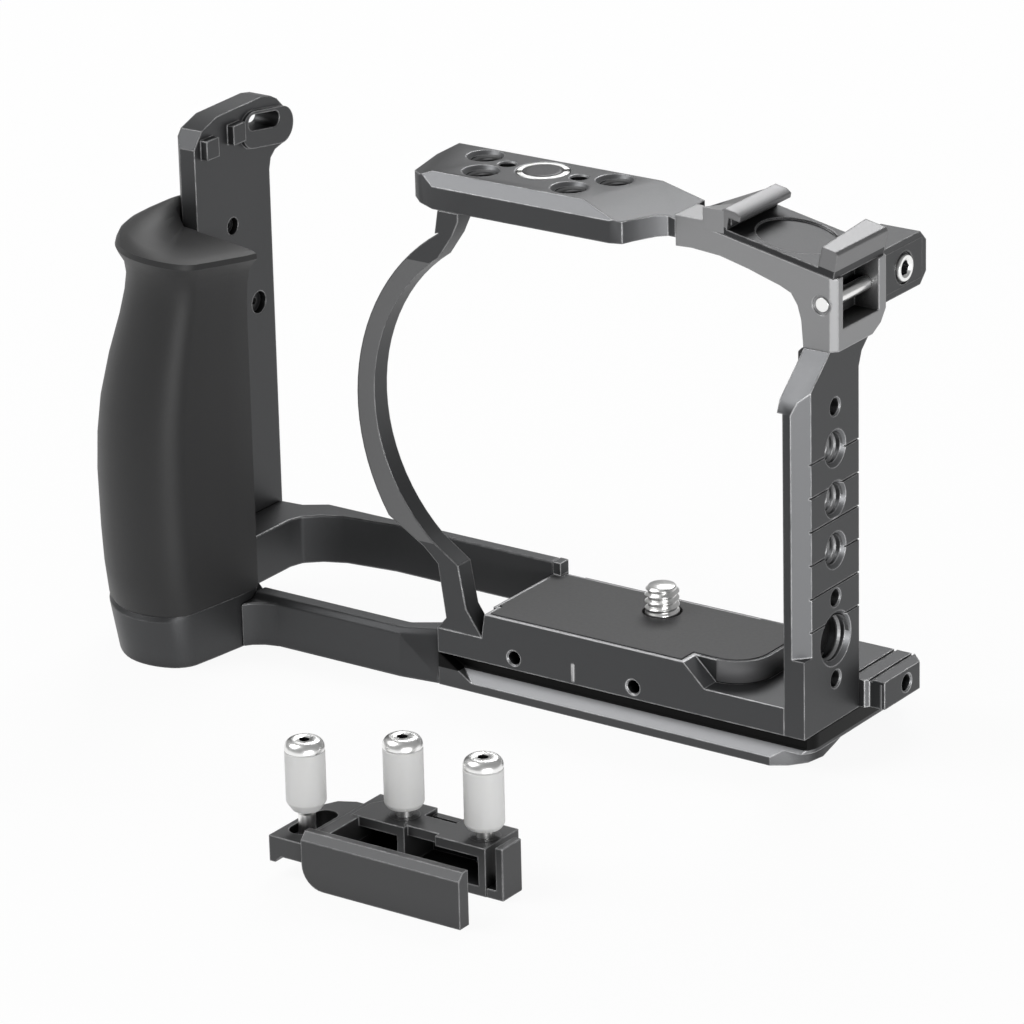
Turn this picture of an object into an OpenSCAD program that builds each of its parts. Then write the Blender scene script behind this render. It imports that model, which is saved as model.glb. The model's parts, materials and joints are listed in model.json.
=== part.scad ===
// Camera cage with a side handle, and the small cable clamp that comes with it.
// X runs to the right in the front view, Y to the rear and Z up.
// The origin is on the axis of the camera screw, in the plane of the seat.

/* [Base] */
// Height of the base, from the floor to the seat
base_h = 16; // [14:0.5:20]
// From the screw axis to the front plane of the frame
front_reach = 17.9; // [16.5:0.1:22]
// From the screw axis to the left edge of the seat platform
seat_left = 27.2; // [24:0.1:28]
// From the screw axis to the rear edge of the seat platform
seat_rear = 6.5; // [6.2:0.1:8]
// Height of the seat platform above the shelf of the base
seat_step = 4.4; // [3:0.1:5]
// Width of the dovetail rail over its sharp edges
rail_w = 38; // [36.5:0.1:39.5]
// Height of the rail's upright edge
rail_edge_h = 1.6; // [1:0.1:2.2]
// Height of the rail's sloping flank
rail_bevel = 2.2; // [1.8:0.1:2.6]
// Height of the groove over the rail's flank
rail_groove = 2.6; // [2:0.1:3]

/* [Side column] */
// From the screw axis to the inner face of the side column
bay_right = 37.1; // [34:0.1:42]
// Thickness of the side column
column_t = 4.2; // [3.6:0.1:5]
// Depth of the side column, front to rear
column_d = 18.1; // [17.5:0.1:20]
// Height of the column's front corner above the seat
column_h = 50; // [47:0.5:54]
// Width of the column's front chamfer
column_chamfer = 2.6; // [1.5:0.1:3]

/* [Top] */
// Height of the camera bay, from the seat to the top plate
bay_h = 74.7; // [72:0.1:80]
// Thickness of the top plate
top_t = 6.3; // [5.5:0.1:8]
// From the screw axis to the left end of the top plate
top_left = 42.2; // [40:0.1:46]
// Depth of the top plate, front to rear
top_d = 18.1; // [17:0.1:20]
// Set-back of the arch from the front plane
arch_setback = 8.7; // [7:0.1:10]
// Downward slope of the accessory shoe, in degrees
shoe_tilt = 11; // [0:1:14]
// Width of the accessory shoe's slot
shoe_slot = 18.8; // [18.6:0.1:19]
// Height of the accessory shoe's slot
shoe_gap = 2.2; // [2.1:0.1:2.5]
// Length of the accessory shoe
shoe_l = 16.4; // [15:0.1:18]

/* [Curved arm] */
// Radius of the arm's outer edge
arm_r = 40.4; // [39.5:0.1:41.5]
// Least width of the arm, seen from the front
arm_w = 4; // [3:0.1:5]
// Thickness of the arm, front to rear
arm_t = 4; // [3:0.1:5]

/* [Side handle] */
// From the screw axis to the inner face of the handle's post
bay_left = 89; // [86:0.1:94]
// Thickness of the handle's post
post_t = 4.8; // [3.6:0.1:6]
// Height of the post above the seat
post_h = 81.5; // [76:0.5:88]
// Depth of the post, front to rear
post_d = 22; // [20:0.1:26]
// Thickness of the loop's front arm
loop_t = 4; // [3:0.1:4.5]
// Height of the loop's front arm
loop_h = 9.5; // [9:0.1:10.3]
// Width of the grip, left to right
grip_w = 28; // [26:0.5:34]
// Reach of the grip in front of the frame
grip_reach = 22.5; // [19:0.5:26]
// Wall of the rubber grip sleeve
grip_wall = 2.4; // [1.6:0.1:3]

/* [Screws and holes] */
// Outside of the quarter-inch camera thread
quarter_d = 6.35; // [6.3:0.01:6.4]
// Clear bore of a quarter-inch tapped hole
quarter_bore = 5.4; // [5:0.1:6]
// Clear bore of a three-eighths tapped hole
eighths_bore = 8.4; // [8:0.1:9]
// Spacing of the locating holes about a three-eighths hole
locating_pitch = 15.24; // [15:0.01:16]
// Bore of a locating hole
locating_d = 3; // [2.6:0.1:3.2]
// Height of the camera screw above the seat
screw_rise = 5; // [4:0.1:5.5]
// How far the camera screw drops
screw_drop = 5; // [4:0.1:5.5]

/* [Cable clamp] */
// Length of the clamp's front bar
clamp_l = 29; // [28:0.5:34]
// Height of the clamp's front bar
clamp_h = 9.9; // [9:0.1:12]
// From the cage's screw axis to the clamp's front face
clamp_reach = 102.3; // [95:0.1:125]
// Outside of a thumb screw's sleeve
thumb_d = 6.9; // [6:0.1:7.2]
// Length of a thumb screw's head
thumb_l = 12.7; // [11:0.1:16]
// Outside of a thumb screw's thread
thumb_thread = 3; // [2.8:0.1:3.1]
// Length of the clamp's adjusting slot
clamp_slot = 11; // [10:0.1:11.5]

/* [Hidden] */
$fn = 48;

// Overrun of a cut past the face that it opens
over = 1;
// Clearance of a turning or sliding fit
fit = 0.05;

// Main planes of the frame
front_y = -front_reach;
floor_z = -base_h;
shelf_z = -seat_step;
flank_z = floor_z + rail_edge_h;
neck_z = flank_z + rail_bevel;
body_z = neck_z + rail_groove;
arch_y = front_y + arch_setback;
outer_x = bay_right + column_t;
column_rear = front_y + column_d;
top_z = bay_h + top_t;
top_rear = front_y + top_d;

module slab_xz(y0, y1) {
    translate([0, y1, 0]) rotate([90, 0, 0]) linear_extrude(y1 - y0) children();
}
module slab_yz(x0, x1) {
    translate([x0, 0, 0]) rotate([90, 0, 90]) linear_extrude(x1 - x0) children();
}
module slab_xy(z0, z1) {
    translate([0, 0, z0]) linear_extrude(z1 - z0) children();
}
module block(low, high) {
    translate(low) cube(high - low);
}
// A bore along one axis, from its mouth for a depth, with a chamfered mouth
module bore_z(x, y, z, d, depth, mouth) {
    translate([x, y, z - depth]) cylinder(d = d, h = depth + over);
    translate([x, y, z - (mouth - d) / 2]) cylinder(d1 = d, d2 = mouth, h = (mouth - d) / 2);
    translate([x, y, z]) cylinder(d = mouth, h = over);
}
module bore_x(x, y, z, d, depth, mouth) {
    translate([x, y, z]) rotate([0, 90, 0]) bore_z(0, 0, 0, d, depth, mouth);
}
// A flat outline of points given as shares of a width and a height
module share_outline(table, width, height) {
    polygon([for (p = table) [p[0] * width, p[1] * height]]);
}
// Points of an arc about a centre
function arc(cx, cy, r, a0, a1, n) =
    [for (i = [0 : n]) let (a = a0 + (a1 - a0) * i / n) [cx + r * cos(a), cy + r * sin(a)]];
// The same with one radius across and another one up
function bow(cx, cy, rx, ry, a0, a1, n) =
    [for (i = [0 : n]) let (a = a0 + (a1 - a0) * i / n) [cx + rx * cos(a), cy + ry * sin(a)]];
// A closed curve through rough points, with a few steps between each two
function bend(a, b, c, d, t) =
    0.5 * (2 * b + (c - a) * t + (2 * a - 5 * b + 4 * c - d) * t * t
           + (3 * b - a - 3 * c + d) * t * t * t);
function smooth(p, steps) = let (n = len(p))
    [for (i = [0 : n - 1]) for (k = [0 : steps - 1])
        bend(p[(i + n - 1) % n], p[i], p[(i + 1) % n], p[(i + 2) % n], k / steps)];

// Base plate: the body over the rail, the seat platform and the lug at the rear right
root_x = 37;
root_d = 8;
root_z = -4.9;
body_rear = 15.5;
strip_d = 3.9;
ramp_x = 16.1;
platform_right = 27.7;
platform_r = 7;
corner_t = 1.7;
rear_arm_in = 5;
rear_arm_out = 7.6;
rear_arm_top = 2.2;
rear_arm_h = 9.5;
lug_x = 46;
lug_step = 1.8;
lug_chamfer = 2.5;
lug_t = shelf_z - body_z;
locating_depth = 5.6;
lug_hole_y = 8.6;
mark_w = 0.5;
mark_x = -7.4;
mark_h = 3.4;
pad_recess = 0.9;
pad_rim = 0.7;
pad_t = 1.1;
pad_proud = pad_t - pad_recess;
seat_z = -pad_proud;
front_hole_x = [-20.3, 5.4];
front_hole_z = -7.4;
front_hole_d = 2.5;
groove_w = 0.6;
groove_t = 0.4;
keeper_t = 1;
keeper_d = 14;
head_bore_d = 13;
head_bore_z = -7;
screw_clear_d = 7.2;
under_x = 19;
under_y = 1;

module platform_outline(inset) {
    difference() {
        union() {
            translate([-seat_left + inset, front_y + strip_d + inset - over])
                square([platform_right - platform_r + seat_left - inset,
                        seat_rear - front_y - strip_d - 2 * inset + over]);
            translate([-seat_left + inset, front_y + strip_d + platform_r])
                square([platform_right + seat_left - 2 * inset,
                        seat_rear - front_y - strip_d - platform_r - inset]);
            translate([platform_right - platform_r, front_y + strip_d + platform_r])
                circle(r = platform_r - inset);
        }
        translate([-seat_left - over, front_y])
            square([platform_right + seat_left + 2 * over, strip_d + inset]);
    }
}
// The pad's outline: the platform and the strip in front of it, inside the rim
module pad_outline(inset) {
    difference() {
        union() {
            platform_outline(inset);
            translate([-seat_left + pad_rim + inset, front_y + inset])
                square([ramp_x + seat_left - pad_rim - 2 * inset, strip_d + over]);
        }
        translate([-seat_left - over, rear_arm_in - inset])
            square([corner_t + over + inset, seat_rear]);
    }
}

module base_plate() {
    color("dimgray") difference() {
        union() {
            block([-root_x, front_y, body_z], [-seat_left, front_y + root_d, root_z]);
            block([-seat_left, front_y, body_z], [bay_right, body_rear, shelf_z]);
            slab_xy(shelf_z - over, seat_z) platform_outline(0);
            slab_xz(front_y, front_y + strip_d)
                polygon([[-seat_left, shelf_z - over], [-seat_left, shelf_z],
                         [-seat_left + pad_rim, seat_z],
                         [ramp_x, seat_z], [ramp_x + seat_step, shelf_z],
                         [ramp_x + seat_step, shelf_z - over]]);
            block([-seat_left, rear_arm_in, shelf_z], [-seat_left + corner_t, rear_arm_out, rear_arm_top]);
            slab_xy(shelf_z - lug_t, shelf_z)
                polygon([[bay_right - over, column_rear + fit], [outer_x + over, column_rear + fit],
                         [outer_x + over + lug_step / 3, column_rear + lug_step / 2],
                         [lug_x, column_rear + lug_step / 2],
                         [lug_x, body_rear - lug_chamfer], [lug_x - lug_chamfer, body_rear],
                         [bay_right - over, body_rear]]);
        }
        slab_xy(seat_z - pad_recess, seat_z + over) pad_outline(pad_rim);
        translate([0, 0, body_z - over]) cylinder(d = screw_clear_d, h = -body_z + 2 * over);
        translate([0, 0, body_z - over]) cylinder(d = head_bore_d, h = head_bore_z - body_z + over);
        for (x = front_hole_x)
            translate([x, front_y, front_hole_z]) rotate([90, 0, 0])
                bore_z(0, 0, 0, front_hole_d, strip_d, front_hole_d + groove_w);
        block([mark_x - mark_w / 2, front_y - over, front_hole_z - mark_h / 2],
              [mark_x + mark_w / 2, front_y + groove_t, front_hole_z + mark_h / 2]);
        bore_x(lug_x, lug_hole_y, shelf_z - lug_t / 2, locating_d, column_t, locating_d + groove_w);
        for (x = [outer_x - lug_step, outer_x + lug_step])
            block([x - groove_w / 2, column_rear, shelf_z - groove_t],
                  [x + groove_w / 2, body_rear + over, shelf_z + over]);
        under_bores();
    }
}

// Tapped holes in the underside, with their locating holes
module under_bores() {
    translate([-under_x, under_y, floor_z]) mirror([0, 0, 1])
        bore_z(0, 0, 0, quarter_bore, base_h - seat_step, quarter_bore + groove_w);
    translate([under_x, under_y, floor_z]) mirror([0, 0, 1])
        bore_z(0, 0, 0, eighths_bore, base_h - seat_step, eighths_bore + groove_w);
    for (side = [-1, 1])
        translate([under_x + side * locating_pitch / 2, under_y, floor_z]) mirror([0, 0, 1])
            bore_z(0, 0, 0, locating_d, locating_depth, locating_d + groove_w);
}

// Dovetail rail: neck, sloping flanks and an upright edge, along the whole base
rail_corner = 5;
rail_end_h = 2.8;
// Lower right end of the rail, in from the outer face and back from the front plane
rail_end = [[7.3, 0], [4.5, 1.8], [2.2, 4.7], [1.5, 8.5], [3, 15.5], [5.5, 26]];
wedge_l = 7.3;
module rail_section() {
    rear = front_y + rail_w;
    polygon([[front_y, floor_z], [front_y, flank_z], [front_y + rail_bevel, neck_z],
             [front_y + rail_bevel, body_z], [rear - rail_bevel, body_z],
             [rear - rail_bevel, neck_z], [rear, flank_z], [rear, floor_z]]);
}
module rail_outline(left, right) {
    rear = front_y + rail_w;
    translate([left, front_y]) square([right - rail_corner - left, rail_w]);
    translate([left, front_y + rail_corner])
        square([right - left, rail_w - 2 * rail_corner]);
    for (y = [front_y + rail_corner, rear - rail_corner])
        translate([right - rail_corner, y]) circle(r = rail_corner);
}
module dovetail_rail() {
    color("gray") difference() {
        union() {
            intersection() {
                slab_yz(-root_x, outer_x) rail_section();
                union() {
                    slab_xy(floor_z + rail_end_h, body_z) rail_outline(-root_x, outer_x);
                    slab_xy(floor_z, floor_z + rail_end_h)
                        polygon(concat([[-root_x, front_y + rail_w], [-root_x, front_y]],
                            [for (p = rail_end) [outer_x - p[0], front_y + p[1]]],
                            [[outer_x - rail_end[5][0], front_y + rail_w]]));
                }
            }
            slab_xz(front_y, front_y + rail_bevel + over)
                polygon([[-root_x, flank_z], [-root_x + wedge_l, flank_z], [-root_x, body_z]]);
        }
        block([-root_x - over, front_y + root_d, floor_z - over],
              [-seat_left, front_y + rail_w + over, body_z + over]);
        translate([0, 0, floor_z - over]) cylinder(d = head_bore_d, h = base_h);
        translate([0, 0, floor_z - over]) cylinder(d = keeper_d, h = keeper_t + over);
        under_bores();
    }
}

// Side column with its tapped and locating holes and the hair-line grooves
column_top = 59.2;
slope_in = 0.9;
chamfer_z = 5;
column_swell = 1.1;
hole_y = -7.5;
quarter_pitch = 9.4;
quarter_z = 22.5;
eighths_z = 6;
column_lines = 6;
line_z = 9.7;
line_pitch = 6.2;
line_t = 0.3;
flare_z = 54;
flare_y = 4.1;
eighths_d = 9.525;
module side_column() {
    color("dimgray") difference() {
        union() {
            slab_yz(bay_right, outer_x) column_outline(body_z);
            slab_yz(bay_right - column_swell, bay_right + over) intersection() {
                column_outline(body_z);
                polygon([[front_y - over, column_h], [front_y + slope_in, column_h], [column_rear, flare_z],
                         [column_rear, column_top], [front_y - over, column_top]]);
            }
        }
        slab_xy(chamfer_z, column_top + over)
            polygon([[outer_x - column_chamfer, front_y], [outer_x + over, front_y + column_chamfer + over],
                     [outer_x + over, front_y - over], [outer_x - column_chamfer, front_y - over]]);
        column_holes();
    }
}
module column_outline(low) {
    polygon([[front_y, low], [front_y, column_h],
             [front_y + slope_in, column_h + 2 * slope_in + slope_in / 2],
             [arch_y - slope_in, column_top - slope_in], [arch_y, column_top], [flare_y, column_top],
             [column_rear + (flare_y - column_rear) / 4, (flare_z + column_top) / 2],
             [column_rear, flare_z], [column_rear, low]]);
}
module column_holes() {
    for (i = [0 : 2])
        bore_x(outer_x, hole_y, quarter_z + i * quarter_pitch, quarter_bore, column_t + over,
               quarter_d + groove_w);
    bore_x(outer_x, hole_y, eighths_z, eighths_bore, column_t + over, eighths_d + groove_w);
    for (z = [eighths_z - locating_pitch / 2, eighths_z + locating_pitch / 2,
              quarter_z + 2 * quarter_pitch + locating_pitch / 2])
        bore_x(outer_x, hole_y, z, locating_d, column_t + over, locating_d + groove_w);
    for (i = [0 : column_lines - 1])
        block([outer_x - line_t, front_y, line_z + i * line_pitch - line_t / 2],
              [outer_x + over, column_rear + over, line_z + i * line_pitch + line_t / 2]);
}

// Rubber pad on the inner side of the column
column_pad_t = 1.2;
column_pad_h = 4.4;
column_pad_w = 8;
module column_pad() {
    color("black") difference() {
        block([bay_right - column_swell - column_pad_t, arch_y, column_top - column_pad_h],
              [bay_right - column_swell, arch_y + column_pad_w, column_top - fit]);
        translate([bay_right - column_swell - column_pad_t, arch_y, column_top])
            rotate([0, 45, 0]) cube([column_pad_t, 3 * column_pad_w, column_pad_t], center = true);
    }
}

// Arch that carries the accessory shoe, with the strap pocket at its right end
arch_left = 10;
arch_top = 78.9;
arch_bulge = 1.1;
arch_drop = 1.5;
arch_right = outer_x + arch_bulge;
arch_rear_y = arch_y + shoe_l;
shoe_floor = 1.2;
shoe_x = 19.8;
shoe_z = 78;
shoe_left = 3.4;
shoe_run = 22.9;
pocket_y0 = -6.7;
pocket_l = 11.8;
pocket_y1 = pocket_y0 + pocket_l;
pocket_z0 = 63;
pocket_z1 = 73;
pocket_t = 5;
pocket_wall = 1.1;
bar_d = 2.6;
bar_hold = 1.6;
bar_z = 67.5;
bar_x = 39.6;
bar_seat = 0.4;
bar_rim = 0.5;
block_y0 = 7.4;
block_y1 = 23;
block_z0 = 62.8;
block_z1 = 72.6;
block_x0 = 33;
block_inset = 0.2;
// Underside of the arch, as shares of its span and of its height over the column
arch_under_share = [[0, 0.71], [0.1, 0.718], [0.28, 0.695], [0.46, 0.625], [0.58, 0.565], [0.655, 0.53],
                    [0.725, 0.48], [0.765, 0.38], [0.788, 0.25], [0.8, 0]];
module shoe_frame() {
    translate([shoe_x, 0, shoe_z]) rotate([0, shoe_tilt, 0]) children();
}
module shoe_arch() {
    span = arch_right - arch_left;
    rise = arch_top - column_top;
    color("gray") difference() {
        union() {
            slab_xz(arch_y, arch_rear_y)
                translate([arch_left, column_top])
                    polygon(concat([for (p = arch_under_share) [p[0] * span, p[1] * rise]],
                                   [[span, 0], [span, rise], [0, rise]]));
            slab_yz(arch_right - pocket_t - pocket_wall, arch_right)
                polygon([[arch_y, column_top], [arch_y, shoe_z], [block_y0, shoe_z], [block_y0, block_z0],
                         [(flare_y + block_y0) / 2, (column_top + block_z0) / 2 - groove_t],
                         [flare_y - pocket_wall, column_top]]);
        }
        shoe_frame() block([-shoe_left, arch_y - over, -shoe_floor],
                           [shoe_run + column_t, block_y0 + over, arch_top - column_top]);
        block([arch_right - pocket_t, pocket_y0, pocket_z0], [arch_right + over, pocket_y1, pocket_z1]);
        slab_yz(arch_left, arch_right + over)
            polygon([[block_y0, block_z0],
                     [(flare_y + block_y0) / 2, (column_top + block_z0) / 2 - groove_t],
                     [flare_y - pocket_wall, column_top], [flare_y - pocket_wall, column_top - over],
                     [block_y0 + over, column_top - over], [block_y0 + over, block_z0]]);
        slab_xy(shoe_z - arch_drop, arch_top + over)
            polygon([[arch_left - over, wedge_left[1]], wedge_left, [wedge_rear - rail_wall, arch_rear_y],
                     [wedge_rear - rail_wall, arch_rear_y + over], [arch_left - over, arch_rear_y + over]]);
        slab_xy(shoe_z + shoe_floor / 2, arch_top + over)
            polygon([[arch_left - over, wedge_left[1]], wedge_left,
                     [wedge_front - wedge_set, arch_y + wedge_set],
                     [wedge_rear - rail_wall + wedge_set, arch_rear_y + over],
                     [arch_left - over, arch_rear_y + over]]);
        slab_xy(column_top - over, arch_top)
            polygon([[arch_right - arch_bulge, arch_y], [arch_right, arch_y + arch_bulge],
                     [arch_right + over, arch_y + arch_bulge], [arch_right + over, arch_y - over],
                     [arch_right - arch_bulge, arch_y - over]]);
        translate([bar_x, arch_y - over, bar_z]) rotate([-90, 0, 0])
            cylinder(d = bar_d, h = pocket_y1 - arch_y + bar_hold + over);
        translate([bar_x, arch_y - over, bar_z]) rotate([-90, 0, 0])
            cylinder(d = bar_d + 2 * bar_rim, h = bar_seat + over);
    }
}

// Steel pin that a strap loops round, pressed in across the pocket
module strap_bar() {
    color("silver") translate([bar_x, arch_y + bar_seat / 2, bar_z]) rotate([-90, 0, 0])
        cylinder(d = bar_d, h = pocket_y1 - arch_y + bar_hold - bar_seat / 2);
}

// Accessory shoe: floor, two lipped rails and the wedge that leads up to the left rail
shoe_x0 = 0.7;
lip_over = 2.3;
lip_t = 1.4;
lip_edge = 0.5;
rail_wall = 1.6;
right_lip_t = 1.6;
right_front = 0.1;
right_rear = 1.3;
recess_d = 14.6;
recess_t = 0.4;
wedge_left = [11.2, -2.4];
wedge_front = 21.6;
wedge_rear = 20.6;
wedge_z = 81.3;
wedge_slope = 16.6;
wedge_set = 0.3;
module wedge_outline() {
    polygon([wedge_left, [wedge_front - wedge_set, arch_y + wedge_set],
             [wedge_rear - rail_wall + wedge_set, arch_rear_y - wedge_set],
             [wedge_rear - rail_wall, arch_rear_y - wedge_set]]);
}
module cold_shoe() {
    x1 = shoe_x0 + shoe_slot;
    top = shoe_gap + right_lip_t;
    color("gray") {
        shoe_frame() difference() {
            slab_xz(arch_y, arch_rear_y)
                polygon([[-shoe_left, -shoe_floor], [-shoe_left, 0], [shoe_x0 - rail_wall, 0],
                         [shoe_x0 - rail_wall, shoe_gap + lip_t - lip_edge],
                         [shoe_x0 - rail_wall + lip_edge, shoe_gap + lip_t],
                         [shoe_x0 + lip_over - 2 * lip_edge, shoe_gap + lip_t],
                         [shoe_x0 + lip_over, shoe_gap + lip_t - lip_edge],
                         [shoe_x0 + lip_over, shoe_gap], [shoe_x0, shoe_gap], [shoe_x0, 0],
                         [x1, 0], [x1, shoe_gap], [x1 - right_rear, shoe_gap], [x1 - right_rear, top],
                         [shoe_run - lip_edge, top], [shoe_run, top - lip_edge], [shoe_run, -shoe_floor]]);
            slab_xy(shoe_gap, top + over)
                polygon([[x1 - right_rear - over, arch_y - over], [x1 - right_rear - over, arch_rear_y],
                         [x1 - right_rear, arch_rear_y], [x1 + right_front, arch_y],
                         [x1 + right_front, arch_y - over]]);
            translate([shoe_x0 + shoe_slot / 2, arch_y + shoe_l / 2, -recess_t])
                cylinder(d = recess_d, h = recess_t + over);
        }
        difference() {
            slab_xy(shoe_z + shoe_floor / 2, wedge_z)
                wedge_outline();
            translate([wedge_front, arch_y, wedge_z])
                rotate([0, 0, atan((wedge_front - wedge_rear) / shoe_l)]) rotate([0, -wedge_slope, 0])
                    translate([-2 * shoe_l, -shoe_l, 0]) cube([2 * shoe_l, 3 * shoe_l, shoe_l]);
        }
    }
}

// Block behind the strap pocket, and the screw in its outer face
block_r = 2;
block_screw_y = 15.6;
block_screw_z = 67.4;
ring_d = 5.6;
block_thread_d = 3;
socket_d = 2.7;
block_screw_l = 6;
ring_h = 0.5;
module rear_block() {
    x1 = outer_x - block_inset;
    color("dimgray") difference() {
        slab_yz(block_x0, x1)
            polygon([[block_y0, block_z0], [block_y1 - block_r, block_z0], [block_y1, block_z0 + block_r],
                     [block_y1, block_z1 - block_r], [block_y1 - block_r, block_z1], [block_y0, block_z1]]);
        bore_x(x1, block_screw_y, block_screw_z, block_thread_d, block_screw_l, ring_d);
        bore_x(x1, block_screw_y, block_screw_z, ring_d + 2 * fit, ring_h, ring_d + groove_t);
    }
}
module rear_block_screw() {
    x1 = outer_x - block_inset;
    color("silver") translate([x1, block_screw_y, block_screw_z]) rotate([0, 90, 0]) difference() {
        union() {
            translate([0, 0, -ring_h]) cylinder(d = ring_d, h = 2 * ring_h);
            translate([0, 0, -block_screw_l + over]) cylinder(d = block_thread_d, h = block_screw_l - over);
        }
        translate([0, 0, -ring_h * 2]) cylinder(d = socket_d, h = ring_h * 4, $fn = 6);
    }
}

// Top plate: plan outline with a rounded left end, front chamfer, ramp, holes
top_right = 3.5;
top_chamfer = 2.2;
top_end = [[0, 0], [-1.4, -5.2], [-0.2, -13.5], [2.6, -16.1], [6.7, -18.1]];
bevel_run = [4.8, 14];
bevel_slope = 18;
ramp_angle = 14.7;
ramp_turn = -20.4;
ramp_top = [-3.9, -13.9];
turn_r = 1.5;
plate_hole_x = -20;
plate_hole_y = -5.7;
pair_front = [9.4, -11.3];
pair_rear = [13.8, -3.7];
bushing_d = 9.52;
bushing_l = 5.5;
bushing_slot = 1.4;
slot_turn = 35;
module top_outline() {
    polygon(concat([for (p = top_end) [-top_left + p[0], top_rear + p[1] * top_d / (top_rear - front_y)]],
        [[top_right - turn_r, front_y], [top_right + turn_r / 2, front_y + turn_r / 2],
         [top_right + turn_r, front_y + 2 * turn_r], [arch_left - 2 * turn_r, arch_y - turn_r],
         [arch_left - turn_r, arch_y], [arch_left, arch_y], [arch_left, top_rear]]));
}
module top_plate() {
    color("dimgray") difference() {
        intersection() {
            slab_xy(bay_h, top_z) top_outline();
            slab_yz(-top_left - 2 * turn_r, arch_left + over)
                polygon([[front_y, bay_h], [front_y, top_z - top_chamfer], [front_y + top_chamfer, top_z],
                         [top_rear, top_z], [top_rear, bay_h]]);
        }
        translate([ramp_top[0], ramp_top[1], top_z]) rotate([0, 0, ramp_turn]) rotate([0, ramp_angle, 0])
            translate([0, -top_d, 0]) cube([2 * top_d, 3 * top_d, top_t]);
        translate([-top_left, top_rear, top_z]) rotate([0, 0, atan(bevel_run[0] / bevel_run[1])])
            rotate([0, -bevel_slope, 0])
                translate([-top_d, -2 * top_d, 0]) cube([top_d, 3 * top_d, top_t]);
        for (side = [-1, 1]) {
            bore_z(plate_hole_x + side * pair_front[0], pair_front[1], top_z, quarter_bore, top_t + over,
                   quarter_d + groove_w);
            bore_z(plate_hole_x + side * pair_rear[0], pair_rear[1], top_z, quarter_bore, top_t + over,
                   quarter_d + groove_w);
            bore_z(plate_hole_x + side * locating_pitch / 2, plate_hole_y, top_z, locating_d, top_t + over,
                   locating_d + groove_w);
        }
        bore_z(plate_hole_x, plate_hole_y, top_z, bushing_d + fit, top_t + over, bushing_d + groove_w);
    }
}

// Slotted steel bushing that narrows the three-eighths hole to a quarter inch
module reducer_bushing() {
    color("silver") translate([plate_hole_x, plate_hole_y, top_z]) difference() {
        translate([0, 0, -bushing_l]) cylinder(d = bushing_d, h = bushing_l);
        translate([0, 0, -bushing_l - over]) cylinder(d = quarter_bore, h = bushing_l + 2 * over);
        rotate([0, 0, slot_turn]) translate([-bushing_d, -bushing_slot / 2, -bushing_slot])
            cube([2 * bushing_d, bushing_slot, bushing_slot + over]);
    }
}

// Curved arm round the lens side, from the base up to the top plate
arm_x = -12.9;
// Height of the curve's centre and of its outer and inner edges, as shares of the bay's height
arm_z = 0.4846 * bay_h;
arm_rise = 0.5408 * bay_h;
arm_inner_rise = 0.4552 * bay_h;
// Where the two edges begin and end, in degrees
arm_outer_turn = [212, 122];
arm_inner_turn = [124, 229];
arm_steps = 24;
arm_shift = [-2.6, 1.3];
arm_hollow = 2.4;
arm_top_x = 34.4;
arm_top_w = 4.4;
arm_foot_x = 0.8663 * arm_r;
arm_foot_in = 29.8;
arm_foot_z = 8;
arm_neck = 4.5;
arm_kink = 1.5;
module curved_arm() {
    inner_r = arm_r - arm_w - arm_hollow;
    color("dimgray") slab_xz(front_y, front_y + arm_t)
        polygon(concat(
            [[-root_x, root_z], [-arm_foot_x, root_z + arm_neck / 2],
             [-arm_foot_x - arm_kink, arm_foot_z - arm_kink / 3],
             [-arm_foot_x - arm_neck, arm_foot_z + arm_neck / 2]],
            bow(arm_x, arm_z, arm_r, arm_rise, arm_outer_turn[0], arm_outer_turn[1], arm_steps),
            [[-arm_top_x - arm_kink / 2, bay_h - arm_neck], [-arm_top_x, bay_h],
             [-arm_top_x + arm_top_w, bay_h],
             [-arm_top_x + arm_top_w, bay_h - arm_kink], [-arm_top_x + 2 * arm_kink, bay_h - arm_neck]],
            bow(arm_x + arm_shift[0], arm_z + arm_shift[1], inner_r, arm_inner_rise,
                arm_inner_turn[0], arm_inner_turn[1], arm_steps),
            [[-arm_foot_in - arm_neck / 2, arm_foot_z], [-arm_foot_in - arm_neck / 6, 0],
             [-seat_left, root_z]]));
}

// Side loop: the front arm at the floor, and the rear arm above it
arm_out = 1;
loop_y = front_y - arm_out;
foot_x = 78.4;
loop_edge = 1;
loop_turn = 8;
turn_back = 2.4;
fillet_in = [[0, 3.6], [1.3, 2], [3.2, 0.8], [6, 0]];
module loop_front_arm() {
    arm_top = floor_z + loop_h;
    x1 = -root_x - loop_turn;
    color("dimgray") {
        intersection() {
            slab_xy(floor_z, arm_top)
                polygon(concat([for (p = fillet_in) [-foot_x + p[0], loop_y - p[1]]],
                    [[x1, loop_y], [x1, loop_y + loop_t], [-foot_x, loop_y + loop_t]]));
            slab_yz(-foot_x - over, x1 + over)
                polygon([[loop_y - 2 * loop_t, floor_z], [loop_y - 2 * loop_t, arm_top - loop_edge],
                         [loop_y, arm_top - loop_edge], [loop_y + loop_edge, arm_top],
                         [loop_y + loop_t + over, arm_top], [loop_y + loop_t + over, floor_z]]);
        }
        hull() {
            slab_xy(floor_z, floor_z + loop_edge)
                polygon([[x1, loop_y], [-root_x, front_y], [-root_x, front_y + root_d],
                         [x1, loop_y + loop_t]]);
            slab_xy(arm_top - 2 * loop_edge, arm_top - loop_edge)
                polygon([[x1, loop_y], [-root_x, front_y + turn_back], [-root_x, front_y + root_d],
                         [x1, loop_y + loop_t]]);
            slab_xy(arm_top - loop_edge, arm_top)
                polygon([[x1, loop_y + loop_edge], [-root_x, front_y + turn_back + loop_edge],
                         [-root_x, front_y + root_d], [x1, loop_y + loop_t]]);
        }
    }
}
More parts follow.
